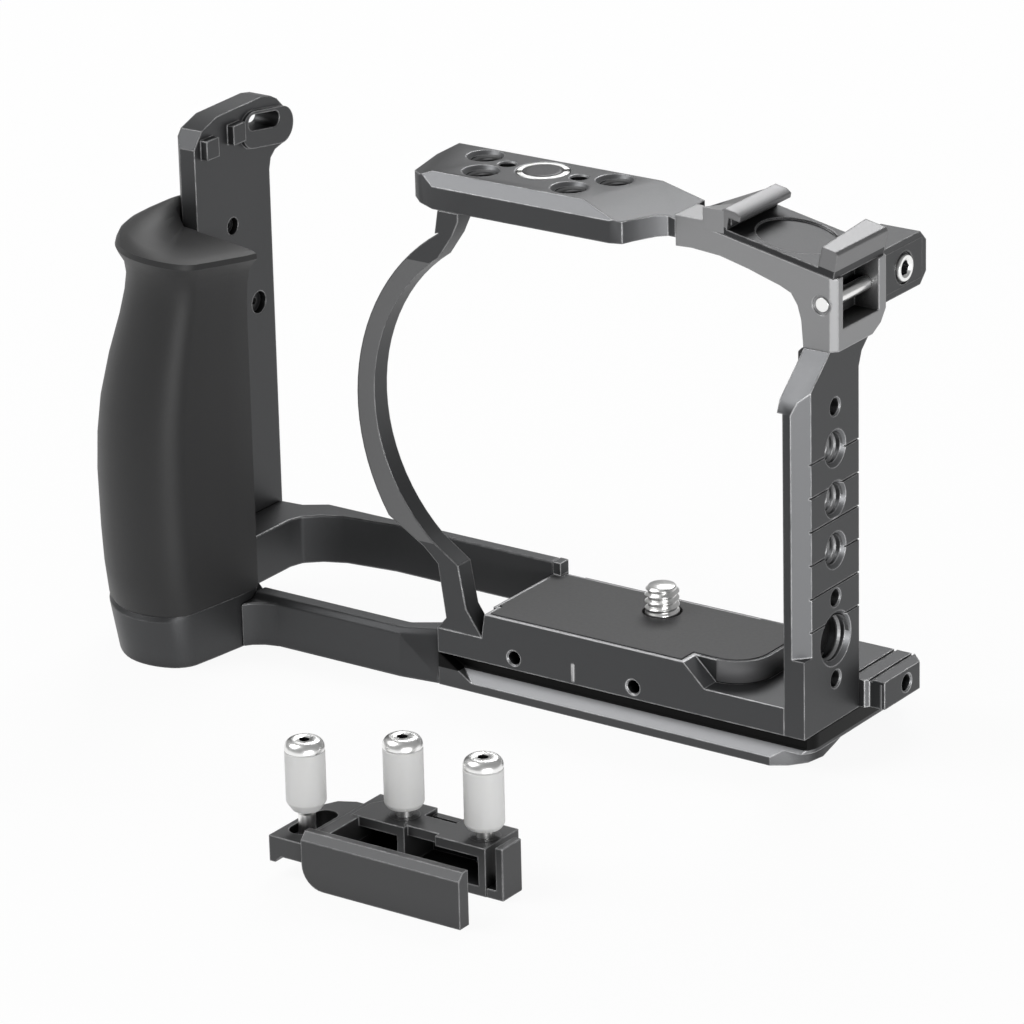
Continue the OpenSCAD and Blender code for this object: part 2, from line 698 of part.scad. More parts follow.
// Inner and outer edges of the rear arm's bend and of the deck under the post,
// as shares of their length and of their reach to the front
rear_bend = 26;
rear_in_share = [[0, -0.01], [0.4, 0.05], [0.56, 0.13], [0.67, 0.24], [0.7, 0.36]];
rear_out_share = [[1, 0.02], [0.81, 0], [0.65, -0.12], [0, -0.12]];
module loop_rear_arm() {
    x0 = -bay_left + rear_bend;
    reach = rear_arm_in - front_y - grip_set;
    color("dimgray") slab_xy(rear_arm_top - rear_arm_h, rear_arm_top)
        polygon(concat([[-seat_left, rear_arm_out], [-seat_left, rear_arm_in]],
            [for (p = rear_in_share) [x0 - p[0] * rear_bend, rear_arm_in - p[1] * reach]],
            [[x0 - rear_in_share[4][0] * rear_bend, front_y + grip_set], [-bay_left, front_y + grip_set]],
            [for (p = rear_out_share) [x0 - p[0] * rear_bend, rear_arm_in - p[1] * reach]]));
}

// Grip: one outline, scaled and shifted ring by ring from the foot to the rim and on to the post
grip_set = 0.5;
grip_in = 11;
foot_h = 10.3;
foot_top = floor_z + foot_h;
grip_corner = [-bay_left + grip_in, front_y + grip_set];
grip_h = 71.7;
grip_steps = 3;
// Outline round the grip from its inner rear corner, as shares of its width and reach
grip_share = [[0, 0], [-0.032, -0.39], [-0.064, -0.675], [-0.093, -0.835], [-0.186, -0.947], [-0.357, -1],
              [-0.536, -0.969], [-0.696, -0.849], [-0.839, -0.649], [-0.946, -0.382], [-1, -0.027],
              [-0.975, 0.418], [-0.839, 0.745], [-0.643, 0.93], [-0.5, 0.985], [-0.37, 0.98],
              [-0.2, 0.96], [-0.04, 0.5]];
// Rings up to the neck: height, width and reach shares, shift share, share of the rim's slope
low_ring_share = [[0, 0.985, 0.985, 0, 0], [0.012, 1, 1, 0, 0], [0.09, 1.02, 1.02, 0, 0],
                  [0.187, 1.031, 1.031, 0, 0], [0.34, 1.036, 1.036, 0, 0], [0.44, 1.025, 1.02, 0, 0],
                  [0.53, 0.995, 0.99, 0, 0], [0.637, 0.925, 0.92, 0, 0.2], [0.73, 0.845, 0.835, 0, 0.5]];
// Rings round the neck and the rim
rim_ring_share = [[0.785, 0.815, 0.785, 0.005, 0.8], [0.83, 0.81, 0.765, 0.014, 0.9],
                  [0.862, 0.84, 0.78, 0.03, 1], [0.884, 0.92, 0.82, 0.066, 1],
                  [0.899, 0.965, 0.86, 0.1, 1], [0.913, 0.95, 0.85, 0.095, 1]];
// Rings from the rim up to the post: size shares and rise shares
dome_share = [[0.95, 0.2], [0.85, 0.36], [0.65, 0.55], [0.4, 0.76], [0.2, 0.9], [0.05, 1]];
rim_slope = [0.06, 0.11];
dome_at = [-15.7, 3.4];
dome_rise = 8;
// Share of the rise on the camera's side, and the width over which it grows to the whole
dome_low = 0.22;
dome_spread = 30;
// Ring of the outline, set in by a wall and laid on the sloping plane of the rim
function ring_points(r, inset) =
    let (k = 1 - 2 * inset / grip_w, cx = -0.5 * grip_w, cy = -0.1 * grip_reach)
    [for (p = smooth(grip_share, grip_steps))
        let (u = cx + (p[0] * grip_w - cx) * k, v = cy + (p[1] * grip_reach - cy) * k,
             x = u * r[1] + r[3] * grip_w, y = v < 0 ? v * r[2] : v)
        [grip_corner[0] + x, grip_corner[1] + y,
         foot_top + r[0] * grip_h - r[4] * (rim_slope[0] * x + rim_slope[1] * min(y, 0))]];
function dome_points(q) =
    let (rim = ring_points(rim_ring_share[5], 0), at = grip_corner + dome_at)
    [for (p = rim) [at[0] + (p[0] - at[0]) * q[0], at[1] + (p[1] - at[1]) * q[0], p[2] * q[0]
        + (1 - q[0]) * (foot_top + rim_ring_share[5][0] * grip_h)
        + q[1] * dome_rise * min(1, max(dome_low, 0.6 - (p[0] - at[0]) / dome_spread))]];
module loft(rings) {
    n = len(rings[0]);
    m = len(rings);
    polyhedron(
        points = [for (r = rings) each r],
        faces = concat([[for (i = [n - 1 : -1 : 0]) i]], [[for (i = [0 : n - 1]) (m - 1) * n + i]],
            [for (k = [0 : m - 2]) for (i = [0 : n - 1]) let (j = (i + 1) % n)
                [k * n + i, (k + 1) * n + j, (k + 1) * n + i]],
            [for (k = [0 : m - 2]) for (i = [0 : n - 1]) let (j = (i + 1) % n)
                [k * n + i, k * n + j, (k + 1) * n + j]]));
}
// Room kept free for the camera body behind the grip's inner corner
module camera_room(gap) {
    block([-bay_left - gap, grip_corner[1] - gap, floor_z - over], [0, post_y + 2 * post_d, top_z]);
}
module post_room(gap) {
    block([-bay_left - post_t - gap, post_y - gap, foot_top - over],
          [-bay_left + over, post_y + post_d + gap, foot_top + 2 * grip_h]);
}

// Metal foot under the grip, open behind where the loop passes
foot_flare_share = 0.945;
foot_back = [[0, 4.4], [-5.6, 8.9], [-11.6, 14.9], [-16.1, 20.9], [-17.6, 30]];
module grip_foot() {
    base = [for (p = ring_points([0, foot_flare_share, foot_flare_share, 0, 0], 0)) [p[0], p[1], floor_z]];
    edge = [for (p = ring_points([0, 1, 1, 0, 0], 0)) [p[0], p[1], foot_top - loop_edge]];
    rim = [for (p = ring_points([0, 0.975, 0.975, 0, 0], 0)) [p[0], p[1], foot_top]];
    color("dimgray") difference() {
        loft([base, edge, rim]);
        block([-foot_x, front_y - 2 * grip_reach, floor_z - over],
              [0, post_y + 2 * post_d, foot_top + over]);
        slab_xy(floor_z - over, foot_top + over)
            polygon(concat([for (p = foot_back) [-foot_x + p[0], loop_y + p[1] - loop_edge / 2]],
                           [[0, loop_y + foot_back[4][1]], [0, loop_y + foot_back[0][1] - loop_edge / 2]]));
        block([-bay_left, front_y + grip_set, rear_arm_top - rear_arm_h],
              [0, post_y + 2 * post_d, foot_top + over]);
    }
}
module grip_core() {
    color("black") difference() {
        loft([for (r = low_ring_share) ring_points(r, grip_wall + fit)]);
        camera_room(grip_wall);
        post_room(0);
    }
}
module grip_sleeve() {
    color("black") difference() {
        loft(concat([for (r = low_ring_share) ring_points(r, 0)],
                    [for (r = rim_ring_share) ring_points(r, 0)],
                    [for (q = dome_share) dome_points(q)]));
        difference() {
            loft(concat([[for (p = ring_points(low_ring_share[0], grip_wall)) [p[0], p[1], p[2] - over]]],
                        [for (r = low_ring_share) ring_points(r, grip_wall)]));
            camera_room(grip_wall - fit);
        }
        camera_room(0);
        post_room(fit);
    }
}

// Handle post with its head, strap slot, lugs and screw holes
// Outline of the head behind the post's front edge, as shares of the post's depth and head height
head_h = 16.5;
head_share = [[1, 0], [1, 0.13], [1.025, 0.26], [1.09, 0.335], [1.24, 0.385], [1.285, 0.455],
              [1.277, 0.65], [1.218, 0.8], [1.135, 0.91], [1.05, 0.97], [0.93, 1], [0.32, 0.98],
              [0.11, 0.885], [0.065, 0.81], [0, 0.7]];
post_edge = 1.4;
lug_out = 1.5;
square_lug = 3.6;
lug_z = [76.2, 77];
lug_y = [-13.2, -5.2];
slot_y = 3;
slot_l = 9.4;
slot_w = 3;
slot_lean = -8;
slot_z = 77.2;
boss_y = 4.2;
boss_z = 75.6;
boss_l = 15.4;
boss_w = 7;
boss_t = 0.8;
post_screw = [[-6.5, 59.4], [0.4, 42.7]];
post_head_d = [3.2, 4.2];
post_head_t = 2.4;
post_shank_d = 2.2;
post_shank_l = 1.8;
module oblong(length, width) {
    square([length - width, width], center = true);
    for (side = [-1, 1])
        translate([side * (length - width) / 2, 0]) circle(d = width);
}
post_y = front_y + grip_set + arm_out / 2;
module handle_post() {
    head_z = post_h - head_h;
    color("dimgray") difference() {
        union() {
            slab_yz(-bay_left - post_t, -bay_left)
                polygon(concat([[post_y, foot_top], [post_y + post_d, foot_top]],
                    [for (p = head_share) [post_y + p[0] * post_d, head_z + p[1] * head_h]]));
            for (i = [0, 1])
                block([-bay_left - over, lug_y[i] - square_lug / 2, lug_z[i] - square_lug / 2],
                      [-bay_left + lug_out, lug_y[i] + square_lug / 2, lug_z[i] + square_lug / 2]);
            slab_yz(-bay_left - over, -bay_left + boss_t)
                translate([boss_y, boss_z]) rotate(slot_lean) oblong(boss_l, boss_w);
        }
        slab_yz(-bay_left - post_t - over, -bay_left + lug_out + over)
            translate([slot_y, slot_z]) rotate(slot_lean) oblong(slot_l, slot_w);
        slab_xy(foot_top - over, post_h + 2 * over)
            polygon([[-bay_left - post_t - over, post_y - over],
                     [-bay_left - post_t + post_edge, post_y - over],
                     [-bay_left - post_t + post_edge, post_y], [-bay_left - post_t, post_y + post_edge],
                     [-bay_left - post_t - over, post_y + post_edge]]);
        grip_screw_bores();
    }
}
module grip_screw_bores() {
    for (i = [0, 1])
        translate([-bay_left, post_screw[i][0], post_screw[i][1]]) rotate([0, 90, 0]) {
            translate([0, 0, -post_head_t]) cylinder(d = post_head_d[i], h = post_head_t + over);
            translate([0, 0, -post_head_t - post_shank_l]) cylinder(d = post_shank_d, h = post_t);
        }
}
module grip_screws() {
    color("black") for (i = [0, 1])
        translate([-bay_left - post_head_t, post_screw[i][0], post_screw[i][1]]) rotate([0, 90, 0])
            difference() {
            union() {
                cylinder(d = post_head_d[i] - 4 * fit, h = post_head_t / 2);
                translate([0, 0, -post_shank_l]) cylinder(d = post_shank_d, h = post_shank_l + fit);
            }
            translate([0, 0, post_head_t / 4]) cylinder(d = post_shank_d / 1.5, h = post_head_t, $fn = 6);
        }
}

// Rubber pad let into the seat platform
module seat_pad() {
    color("#303030") difference() {
        slab_xy(seat_z - pad_recess, 0) pad_outline(pad_rim + fit);
        translate([0, 0, seat_z - pad_recess - over]) cylinder(d = screw_clear_d, h = pad_t + 2 * over);
    }
}

// Captive camera screw, the washer under its head and the ring that keeps it in
screw_head_d = 12;
relief_d = 5.4;
keeper_bore = 9.2;
washer_t = 0.6;
washer_gap = 0.2;
drive_slot = 1.4;
screw_head_t = base_h - keeper_t + head_bore_z - 2 * washer_gap - washer_t - screw_drop;
module screw_washer() {
    color("dimgray") translate([0, 0, head_bore_z - washer_gap - washer_t]) difference() {
        cylinder(d = head_bore_d - 4 * fit, h = washer_t);
        translate([0, 0, -over]) cylinder(d = relief_d + 2 * fit, h = washer_t + 2 * over);
    }
}
module camera_screw() {
    head_top = head_bore_z - washer_gap - washer_t;
    tip = quarter_d / 8;
    color("silver") difference() {
        union() {
            translate([0, 0, head_top - screw_head_t]) cylinder(d = screw_head_d, h = screw_head_t);
            translate([0, 0, head_top - fit]) cylinder(d = relief_d, h = fit - head_top + fit);
            cylinder(d = quarter_d, h = screw_rise - tip);
            translate([0, 0, screw_rise - tip]) cylinder(d1 = quarter_d, d2 = quarter_d - 2 * tip, h = tip);
        }
        translate([-screw_head_d, -drive_slot / 2, head_top - screw_head_t - over])
            cube([2 * screw_head_d, drive_slot, screw_head_t / 2 + over]);
    }
}
module screw_keeper() {
    color("dimgray") translate([0, 0, floor_z]) difference() {
        cylinder(d = keeper_d, h = keeper_t);
        translate([0, 0, -over]) cylinder(d = keeper_bore, h = keeper_t + 2 * over);
    }
}

// Cable clamp: front bar, left lug with the slot, and two screwed cable seats
clamp_y = -clamp_reach;
bar_left = -1.6;
clamp_right = bar_left + clamp_l;
bar_top = floor_z + clamp_h;
bar_t = 2.6;
bar_bevel = 1.3;
bar_r = 4.2;
wall_left = -5;
wall_right = -2.4;
lug_left = -12.6;
lug_top_z = -8.7;
lug_under = -13.4;
lug_foot = 1.2;
lug_front = 1.2;
lug_rear_y = -82;
lug_corner = 4.4;
slot_x = -9.4;
slot_mid = -92.8;
slot_open = 4.2;
seat_front = -89.4;
seat_back = -79.6;
seat_top = -7.2;
seat_roof = 1.8;
seat_floor = 1.7;
seat_wall = 1.5;
divider_x = 5.5;
middle_x = 3.9;
right_x = 20.4;
screw_y = -84.8;
strip_l = 7.9;
strip_rear = 3.7;
divider_right = 22.1;
hook_left = 25.6;
hook_t = 1.5;
hook_d = 5.6;
hook_drop = 0.4;
boss_set = 1.1;

module clamp_body() {
    color("#404040") difference() {
        union() {
            // Front bar with its bevelled top and rounded lower left corner
            intersection() {
                slab_yz(wall_left, clamp_right)
                    polygon([[clamp_y, floor_z], [clamp_y, bar_top - bar_bevel],
                             [clamp_y + bar_bevel, bar_top],
                             [clamp_y + bar_t, bar_top], [clamp_y + bar_t, floor_z]]);
                slab_xz(clamp_y - over, clamp_y + bar_t + over)
                    polygon(concat([[clamp_right, floor_z], [clamp_right, bar_top], [wall_left, bar_top]],
                        arc(wall_left + bar_r, floor_z + bar_r, bar_r, 180, 270, 8)));
            }
            // Wall that joins the bar to the cable seats
            block([wall_left, clamp_y + bar_t - bar_bevel, floor_z + bar_r],
                  [wall_right, seat_back, bar_top - bar_bevel]);
            // Lug with its arched underside and rounded rear corner
            intersection() {
              slab_xy(lug_under - over, lug_top_z + over)
                polygon([[lug_left, clamp_y + lug_front], [lug_left, lug_rear_y - lug_corner],
                         [lug_left + lug_corner / 3, lug_rear_y - lug_corner / 3],
                         [lug_left + lug_corner, lug_rear_y], [wall_left + lug_foot, lug_rear_y],
                         [wall_left + lug_foot, clamp_y + lug_front]]);
              slab_xz(clamp_y + lug_front, lug_rear_y)
                polygon([[lug_left, lug_top_z], [lug_left, lug_under], [lug_left + lug_foot, lug_under],
                         [lug_left + 2 * lug_foot, lug_under + lug_foot], [wall_left, lug_under + lug_foot],
                         [wall_left + fit, lug_under], [wall_left + lug_foot, lug_top_z]]);
            }
            // Cable seats: roof, rear wall, dividers and floor
            slab_xy(seat_top - seat_roof, seat_top)
                polygon([[wall_right - seat_wall, seat_front],
                         [wall_right - seat_wall, seat_back - lug_corner],
                         [wall_right + seat_wall, seat_back], [divider_x + seat_wall, seat_back],
                         [divider_x + seat_wall, seat_front]]);
            block([divider_x, seat_front + boss_set, seat_top - seat_roof],
                  [divider_x + strip_l + over, seat_back - strip_rear, seat_top]);
            block([divider_x + strip_l, seat_front, seat_top - seat_roof],
                  [divider_right + seat_wall, seat_back, seat_top]);
            for (x = [divider_x, divider_right])
                block([x, seat_front, floor_z], [x + seat_wall, seat_back - seat_wall, seat_top]);
            block([wall_left, seat_back - seat_wall, floor_z],
                  [divider_right + seat_wall, seat_back, seat_top - seat_roof / 2]);
            block([wall_left, seat_front, floor_z],
                  [divider_right + seat_wall, seat_back, floor_z + seat_floor]);
        }
        slab_xy(lug_under - over, lug_top_z + over)
            translate([slot_x, slot_mid]) rotate(90) oblong(clamp_slot, slot_open);
        for (x = [middle_x, right_x])
            translate([x, screw_y, seat_top - seat_roof - over])
                cylinder(d = thumb_thread + 2 * fit, h = seat_roof + 2 * over);
        for (x = [middle_x, right_x])
            translate([x, screw_y, seat_top - groove_t])
                cylinder(d = thumb_thread + 2 * groove_w, h = over);
    }
}
// Hook at the clamp's right end, on the floor of the right-hand seat
module clamp_hook() {
    color("#404040") {
        block([divider_right + seat_wall, seat_front, floor_z],
              [hook_left + fit, seat_front + hook_d, floor_z + seat_floor]);
        block([hook_left, seat_front, floor_z],
              [hook_left + hook_t, seat_front + hook_d, bar_top - hook_drop]);
    }
}

// Thumb screw: steel core with a domed cap, a collar and a threaded end, and a plastic sleeve
sleeve_bottom = -5.5;
sleeve_l = 10.8;
sleeve_bore = 4.4;
cap_edge = 0.5;
cap_flat_d = 4.1;
sleeve_taper = 0.5;
fixing_taper = 1;
thread_rise = 0.9;
neck_step = 0.2;
collar_d = 4.2;
thumb_socket = 2;
module thumb_core(x, y, neck_d, end_z, pin) {
    top = sleeve_bottom + thumb_l;
    cap_z = sleeve_bottom + sleeve_l;
    r = thumb_thread / 2;
    color("silver") translate([x, y, 0]) difference() {
        union() {
            rotate_extrude() polygon([[0, end_z], [r, end_z], [r, seat_top + thread_rise],
                [neck_d / 2, seat_top + thread_rise + neck_step],
                [neck_d / 2, sleeve_bottom - neck_step / 2],
                [collar_d / 2, sleeve_bottom - fit], [collar_d / 2, sleeve_bottom],
                [sleeve_bore / 2, sleeve_bottom],
                [sleeve_bore / 2, cap_z], [thumb_d / 2, cap_z], [thumb_d / 2, cap_z + cap_edge / 2],
                [thumb_d / 2 - cap_edge, top - cap_edge], [cap_flat_d / 2, top], [0, top]]);
            if (pin > 0) translate([0, 0, end_z - pin]) cylinder(d = thumb_thread / 2, h = pin + fit);
        }
        translate([0, 0, top - thumb_socket]) cylinder(d = thumb_socket, h = thumb_l, $fn = 6);
    }
}
module thumb_sleeve(x, y, taper) {
    rb = sleeve_bore / 2;
    rs = thumb_d / 2;
    color("whitesmoke") translate([x, y, 0]) rotate_extrude()
        polygon([[rb, sleeve_bottom], [rs - taper, sleeve_bottom], [rs, sleeve_bottom + 1.5 * taper],
                 [rs, sleeve_bottom + sleeve_l], [rb, sleeve_bottom + sleeve_l]]);
}
pad_d = 2.6;
pad_h = 1.2;
pin_l = 0.8;
screw_end = -12;
module screw_pad(x) {
    color("dimgray") translate([x, screw_y, screw_end - pad_h - fit]) difference() {
        cylinder(d = pad_d, h = pad_h);
        translate([0, 0, pad_h - pin_l - fit]) cylinder(d = thumb_thread / 2 + 2 * fit, h = pin_l + over);
    }
}
module middle_screw() { thumb_core(middle_x, screw_y, thumb_thread, screw_end, pin_l); }
module right_screw() { thumb_core(right_x, screw_y, thumb_thread, screw_end, pin_l); }
module middle_sleeve() { thumb_sleeve(middle_x, screw_y, sleeve_taper); }
module right_sleeve() { thumb_sleeve(right_x, screw_y, sleeve_taper); }
module middle_pad() { screw_pad(middle_x); }
module right_pad() { screw_pad(right_x); }

// Fixing screw of the clamp, free to slide along the slot in a small bush
fixing_y = -94.5;
bush_l = 4.2;
bush_z = -12;
bush_h = 1.8;
bush_fit = 0.1;
clip_d = 5.4;
clip_t = 0.6;
groove_d = 2.2;
fixing_end = -15;
clip_z = -14.4;
neck_fix_d = 1.8;
module fixing_bush() {
    color("black") translate([slot_x, fixing_y, bush_z]) difference() {
        translate([-slot_open / 2 + bush_fit, -bush_l / 2, 0])
            cube([slot_open - 2 * bush_fit, bush_l, bush_h]);
        translate([0, 0, -over]) cylinder(d = thumb_thread + 2 * fit, h = bush_h + 2 * over);
    }
}
module fixing_clip() {
    color("silver") translate([slot_x, fixing_y, clip_z]) difference() {
        cylinder(d = clip_d, h = clip_t);
        translate([0, 0, -over]) cylinder(d = groove_d + 2 * fit, h = clip_t + 2 * over);
    }
}
module fixing_screw() {
    difference() {
        thumb_core(slot_x, fixing_y, neck_fix_d, fixing_end, 0);
        translate([slot_x, fixing_y, clip_z - fit]) difference() {
            cylinder(d = thumb_thread + over, h = clip_t + 2 * fit);
            translate([0, 0, -over]) cylinder(d = groove_d, h = clip_t + 3 * over);
        }
    }
}
module fixing_sleeve() { thumb_sleeve(slot_x, fixing_y, fixing_taper); }

base_plate();
dovetail_rail();
side_column();
shoe_arch();
cold_shoe();
top_plate();
curved_arm();
loop_front_arm();
loop_rear_arm();
grip_foot();
handle_post();
grip_core();
grip_sleeve();
grip_screws();
seat_pad();
column_pad();
camera_screw();
screw_washer();
screw_keeper();
reducer_bushing();
strap_bar();
rear_block();
rear_block_screw();
clamp_body();
clamp_hook();
fixing_bush();
fixing_clip();
fixing_screw();
fixing_sleeve();
middle_pad();
middle_screw();
middle_sleeve();
right_pad();
right_screw();
right_sleeve();
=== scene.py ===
"""Camera cage with its side handle and the small cable clamp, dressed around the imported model."""

import json
import math

import bmesh
import bpy
import numpy as np
from mathutils import Matrix, Vector


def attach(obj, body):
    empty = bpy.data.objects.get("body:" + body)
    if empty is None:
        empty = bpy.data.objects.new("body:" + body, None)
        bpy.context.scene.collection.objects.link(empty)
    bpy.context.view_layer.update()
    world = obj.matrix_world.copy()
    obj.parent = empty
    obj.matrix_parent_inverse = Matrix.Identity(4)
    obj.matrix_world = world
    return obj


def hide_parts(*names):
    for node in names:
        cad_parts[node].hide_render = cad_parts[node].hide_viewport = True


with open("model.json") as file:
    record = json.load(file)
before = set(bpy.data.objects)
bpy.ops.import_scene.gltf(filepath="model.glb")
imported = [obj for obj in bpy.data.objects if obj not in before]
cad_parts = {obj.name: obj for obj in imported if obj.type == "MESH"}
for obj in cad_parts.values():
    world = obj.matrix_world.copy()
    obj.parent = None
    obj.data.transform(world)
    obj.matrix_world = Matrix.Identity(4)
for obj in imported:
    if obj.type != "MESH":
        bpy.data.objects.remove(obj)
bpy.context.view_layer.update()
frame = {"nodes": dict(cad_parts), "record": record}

MM = 0.001
TAU = 2 * math.pi
FLOOR = -16.0  # mm, the plane that the base and the clamp stand on
JOIN = 2e-6  # m, merges the corners of loose triangles and nothing more

# Camera: a long lens, turned and tipped as in the photograph
YAW, PITCH, ROLL = math.radians(35.293), math.radians(20.831), math.radians(-1.381)
FOCAL_PX, FRAME_PX, SENSOR = 5847.9, 1024, 36.0
CAMERA_MM = (541.2, -810.5, 390.3)
NEAR_FAR = (0.01, 20)  # m


def make_camera():
    """The camera looks along -back, and its right and up are turned by the roll."""
    back = Vector((math.sin(YAW) * math.cos(PITCH), -math.cos(YAW) * math.cos(PITCH), math.sin(PITCH)))
    right = Vector((math.cos(YAW), math.sin(YAW), 0))
    up = back.cross(right)
    c, s = math.cos(ROLL), math.sin(ROLL)
    right, up = c * right + s * up, c * up - s * right
    data = bpy.data.cameras.new("camera")
    data.sensor_width = SENSOR
    data.lens = FOCAL_PX / FRAME_PX * SENSOR
    data.clip_start, data.clip_end = NEAR_FAR
    cam = bpy.data.objects.new("camera", data)
    bpy.context.scene.collection.objects.link(cam)
    place = Matrix.Translation(Vector(CAMERA_MM) * MM)
    cam.matrix_world = place @ Matrix((right, up, back)).transposed().to_4x4()
    bpy.context.scene.camera = cam


make_camera()
bpy.context.scene.view_settings.view_transform = "Standard"


# ---------------------------------------------------------------- meshes
def mesh_piece(name, points, faces, smooth=True):
    """A mesh object from points in millimetres and faces."""
    mesh = bpy.data.meshes.new(name)
    mesh.from_pydata((np.asarray(points) * MM).tolist(), [], [list(map(int, f)) for f in faces])
    mesh.polygons.foreach_set("use_smooth", [smooth] * len(mesh.polygons))
    mesh.update()
    obj = bpy.data.objects.new(name, mesh)
    bpy.context.scene.collection.objects.link(obj)
    return obj


def tube_faces(rings, count):
    """Quads between neighbouring rings of count points each, and one face that closes each end."""
    i, j = np.meshgrid(np.arange(rings - 1), np.arange(count), indexing="ij")
    k = (j + 1) % count
    quads = np.stack([i * count + j, i * count + k, (i + 1) * count + k, (i + 1) * count + j], -1)
    last = (rings - 1) * count
    return quads.reshape(-1, 4).tolist() + [list(range(count))[::-1], list(range(last, last + count))]


AXES = {
    "x": np.array([[0, 0, 1], [1, 0, 0], [0, 1, 0]], float),
    "z": np.eye(3),
}


def turned(name, profile, centre, count=96, socket=0, axis="z"):
    """A lathed form: each (radius, height) of the profile goes once round the axis through centre. The last
    socket rings are six-cornered: radius / cos(angle from the nearest flat's middle)."""
    prof = np.asarray(profile, float)
    t = np.linspace(0, TAU, count, endpoint=False)
    r = np.repeat(prof[:, :1], count, axis=1)
    if socket:
        r[-socket:] /= np.cos(np.mod(t, TAU / 6) - TAU / 12)
    h = np.repeat(prof[:, 1:], count, axis=1)
    local = np.stack([r * np.cos(t), r * np.sin(t), h], -1).reshape(-1, 3)
    return mesh_piece(name, local @ AXES[axis].T + np.asarray(centre), tube_faces(len(prof), count))


FLANK = 2.5  # slope of a thread's flanks, in depths per pitch


def threaded_rod(name, major, depth, pitch, bottom, top, start, tip, count=72, step=0.08):
    """An upright thread round the z axis: radius = major - depth * wave(height / pitch - angle / turn), where
    wave is a triangle cut off at 0 and 1. It comes up over one pitch from start, and the end narrows over
    the tip's height."""
    z = np.arange(bottom, top + step / 2, step)
    t = np.linspace(0, TAU, count, endpoint=False)
    zz, tt = np.meshgrid(z, t, indexing="ij")
    phase = np.mod(zz / pitch - tt / TAU, 1.0)
    wave = np.clip(FLANK * (0.5 - np.abs(phase - 0.5)), 0.0, 1.0)
    rise = np.clip((zz - start) / pitch, 0, 1)
    r = np.minimum(major - depth * wave * rise, major - np.clip(zz - (top - tip), 0, None))
    points = np.stack([r * np.cos(tt), r * np.sin(tt), zz], -1).reshape(-1, 3)
    return mesh_piece(name, points, tube_faces(len(z), count))


RIDGE_FOOT, RIDGE_CREST = 0.42, 0.08  # half widths of a thread's ridge, in pitches
IN_WALL = 0.06  # mm that the ridge's foot lies inside the wall


def inner_thread(name, mouth, axis, radius, ridge, pitch, length, count=40):
    """A thread ridge in a hole: a four-cornered section, based just inside the wall, carried along the helix
    (radius cos t, radius sin t, -pitch t / turn) from the mouth for length. It comes up from the wall and
    goes back into it over half a turn."""
    turns = length / pitch
    t = np.linspace(0, TAU * turns, max(8, int(count * turns)))
    base, crest = radius + IN_WALL, radius - ridge
    section = np.array([[base, -RIDGE_FOOT * pitch], [crest, -RIDGE_CREST * pitch],
                        [crest, RIDGE_CREST * pitch], [base, RIDGE_FOOT * pitch]])
    ease = np.clip(np.minimum(t, t[-1] - t) / (TAU / 2), 0, 1)[:, None]
    r = base + (section[None, :, 0] - base) * ease
    h = section[None, :, 1] + (pitch * t / TAU)[:, None]
    local = np.stack([r * np.cos(t)[:, None], r * np.sin(t)[:, None], -h], -1).reshape(-1, 3)
    points = local @ AXES[axis].T + np.asarray(mouth)
    return mesh_piece(name, points, tube_faces(len(t), len(section)), smooth=False)


def outward(obj):
    """Makes the faces of a closed mesh point outwards."""
    bm = bmesh.new()
    bm.from_mesh(obj.data)
    bmesh.ops.remove_doubles(bm, verts=bm.verts, dist=1e-7)
    bmesh.ops.recalc_face_normals(bm, faces=bm.faces)
    bm.to_mesh(obj.data)
    bm.free()
    return obj


def soften(obj, width, **settings):
    """Rounds a new piece's edges by the width in millimetres."""
    soft = obj.modifiers.new("edges", "BEVEL")
    soft.width, soft.segments, soft.harden_normals = width * MM, 3, True
    for key, value in settings.items():
        setattr(soft, key, value)
    return obj


# ---------------------------------------------------------------- shader nodes
FLOAT, COLOUR = "NodeSocketFloat", "NodeSocketColor"
GREY = (0.1, 0.1, 0.1, 1)


def new_group(name, inputs, outputs):
    """An empty shader group: inputs are (name, socket kind, default), outputs (name, socket kind). Gives the
    tree, its given values and the inputs that its results go to."""
    tree = bpy.data.node_groups.new(name, "ShaderNodeTree")
    for label, kind, value in inputs:
        tree.interface.new_socket(label, in_out="INPUT", socket_type=kind).default_value = value
    for label, kind in outputs:
        tree.interface.new_socket(label, in_out="OUTPUT", socket_type=kind)
    return tree, tree.nodes.new("NodeGroupInput").outputs, tree.nodes.new("NodeGroupOutput").inputs


def feed(tree, socket, value):
    """Links an output to the socket, or sets a plain value there."""
    if isinstance(value, bpy.types.NodeSocket):
        tree.links.new(value, socket)
    else:
        socket.default_value = value


def put(tree, kind, *feeds, **settings):
    """A new node. Settings are its properties or, by their names, its inputs, and feeds go into its inputs in
    order. Each value is plain, or an output to link."""
    node = tree.nodes.new(kind)
    for key, value in settings.items():
        if hasattr(node, key):
            setattr(node, key, value)
        else:
            feed(tree, node.inputs[key], value)
    for socket, value in zip(node.inputs, feeds):
        feed(tree, socket, value)
    return node


def worked(tree, operation, *feeds, clamp=False):
    """The result of a Math node."""
    return put(tree, "ShaderNodeMath", *feeds, operation=operation, use_clamp=clamp).outputs[0]


def ranged(tree, value, *limits):
    """The value, brought from between the first two limits to between the last two."""
    return put(tree, "ShaderNodeMapRange", value, *limits).outputs[0]


def noise(tree, place, **settings):
    """Noise from 0 to 1 over a place."""
    return put(tree, "ShaderNodeTexNoise", Vector=place, **settings).outputs["Fac"]


def tinted(tree, colour, factor):
    """A colour times a factor."""
    return put(tree, "ShaderNodeVectorMath", colour, operation="SCALE", Scale=factor).outputs[0]


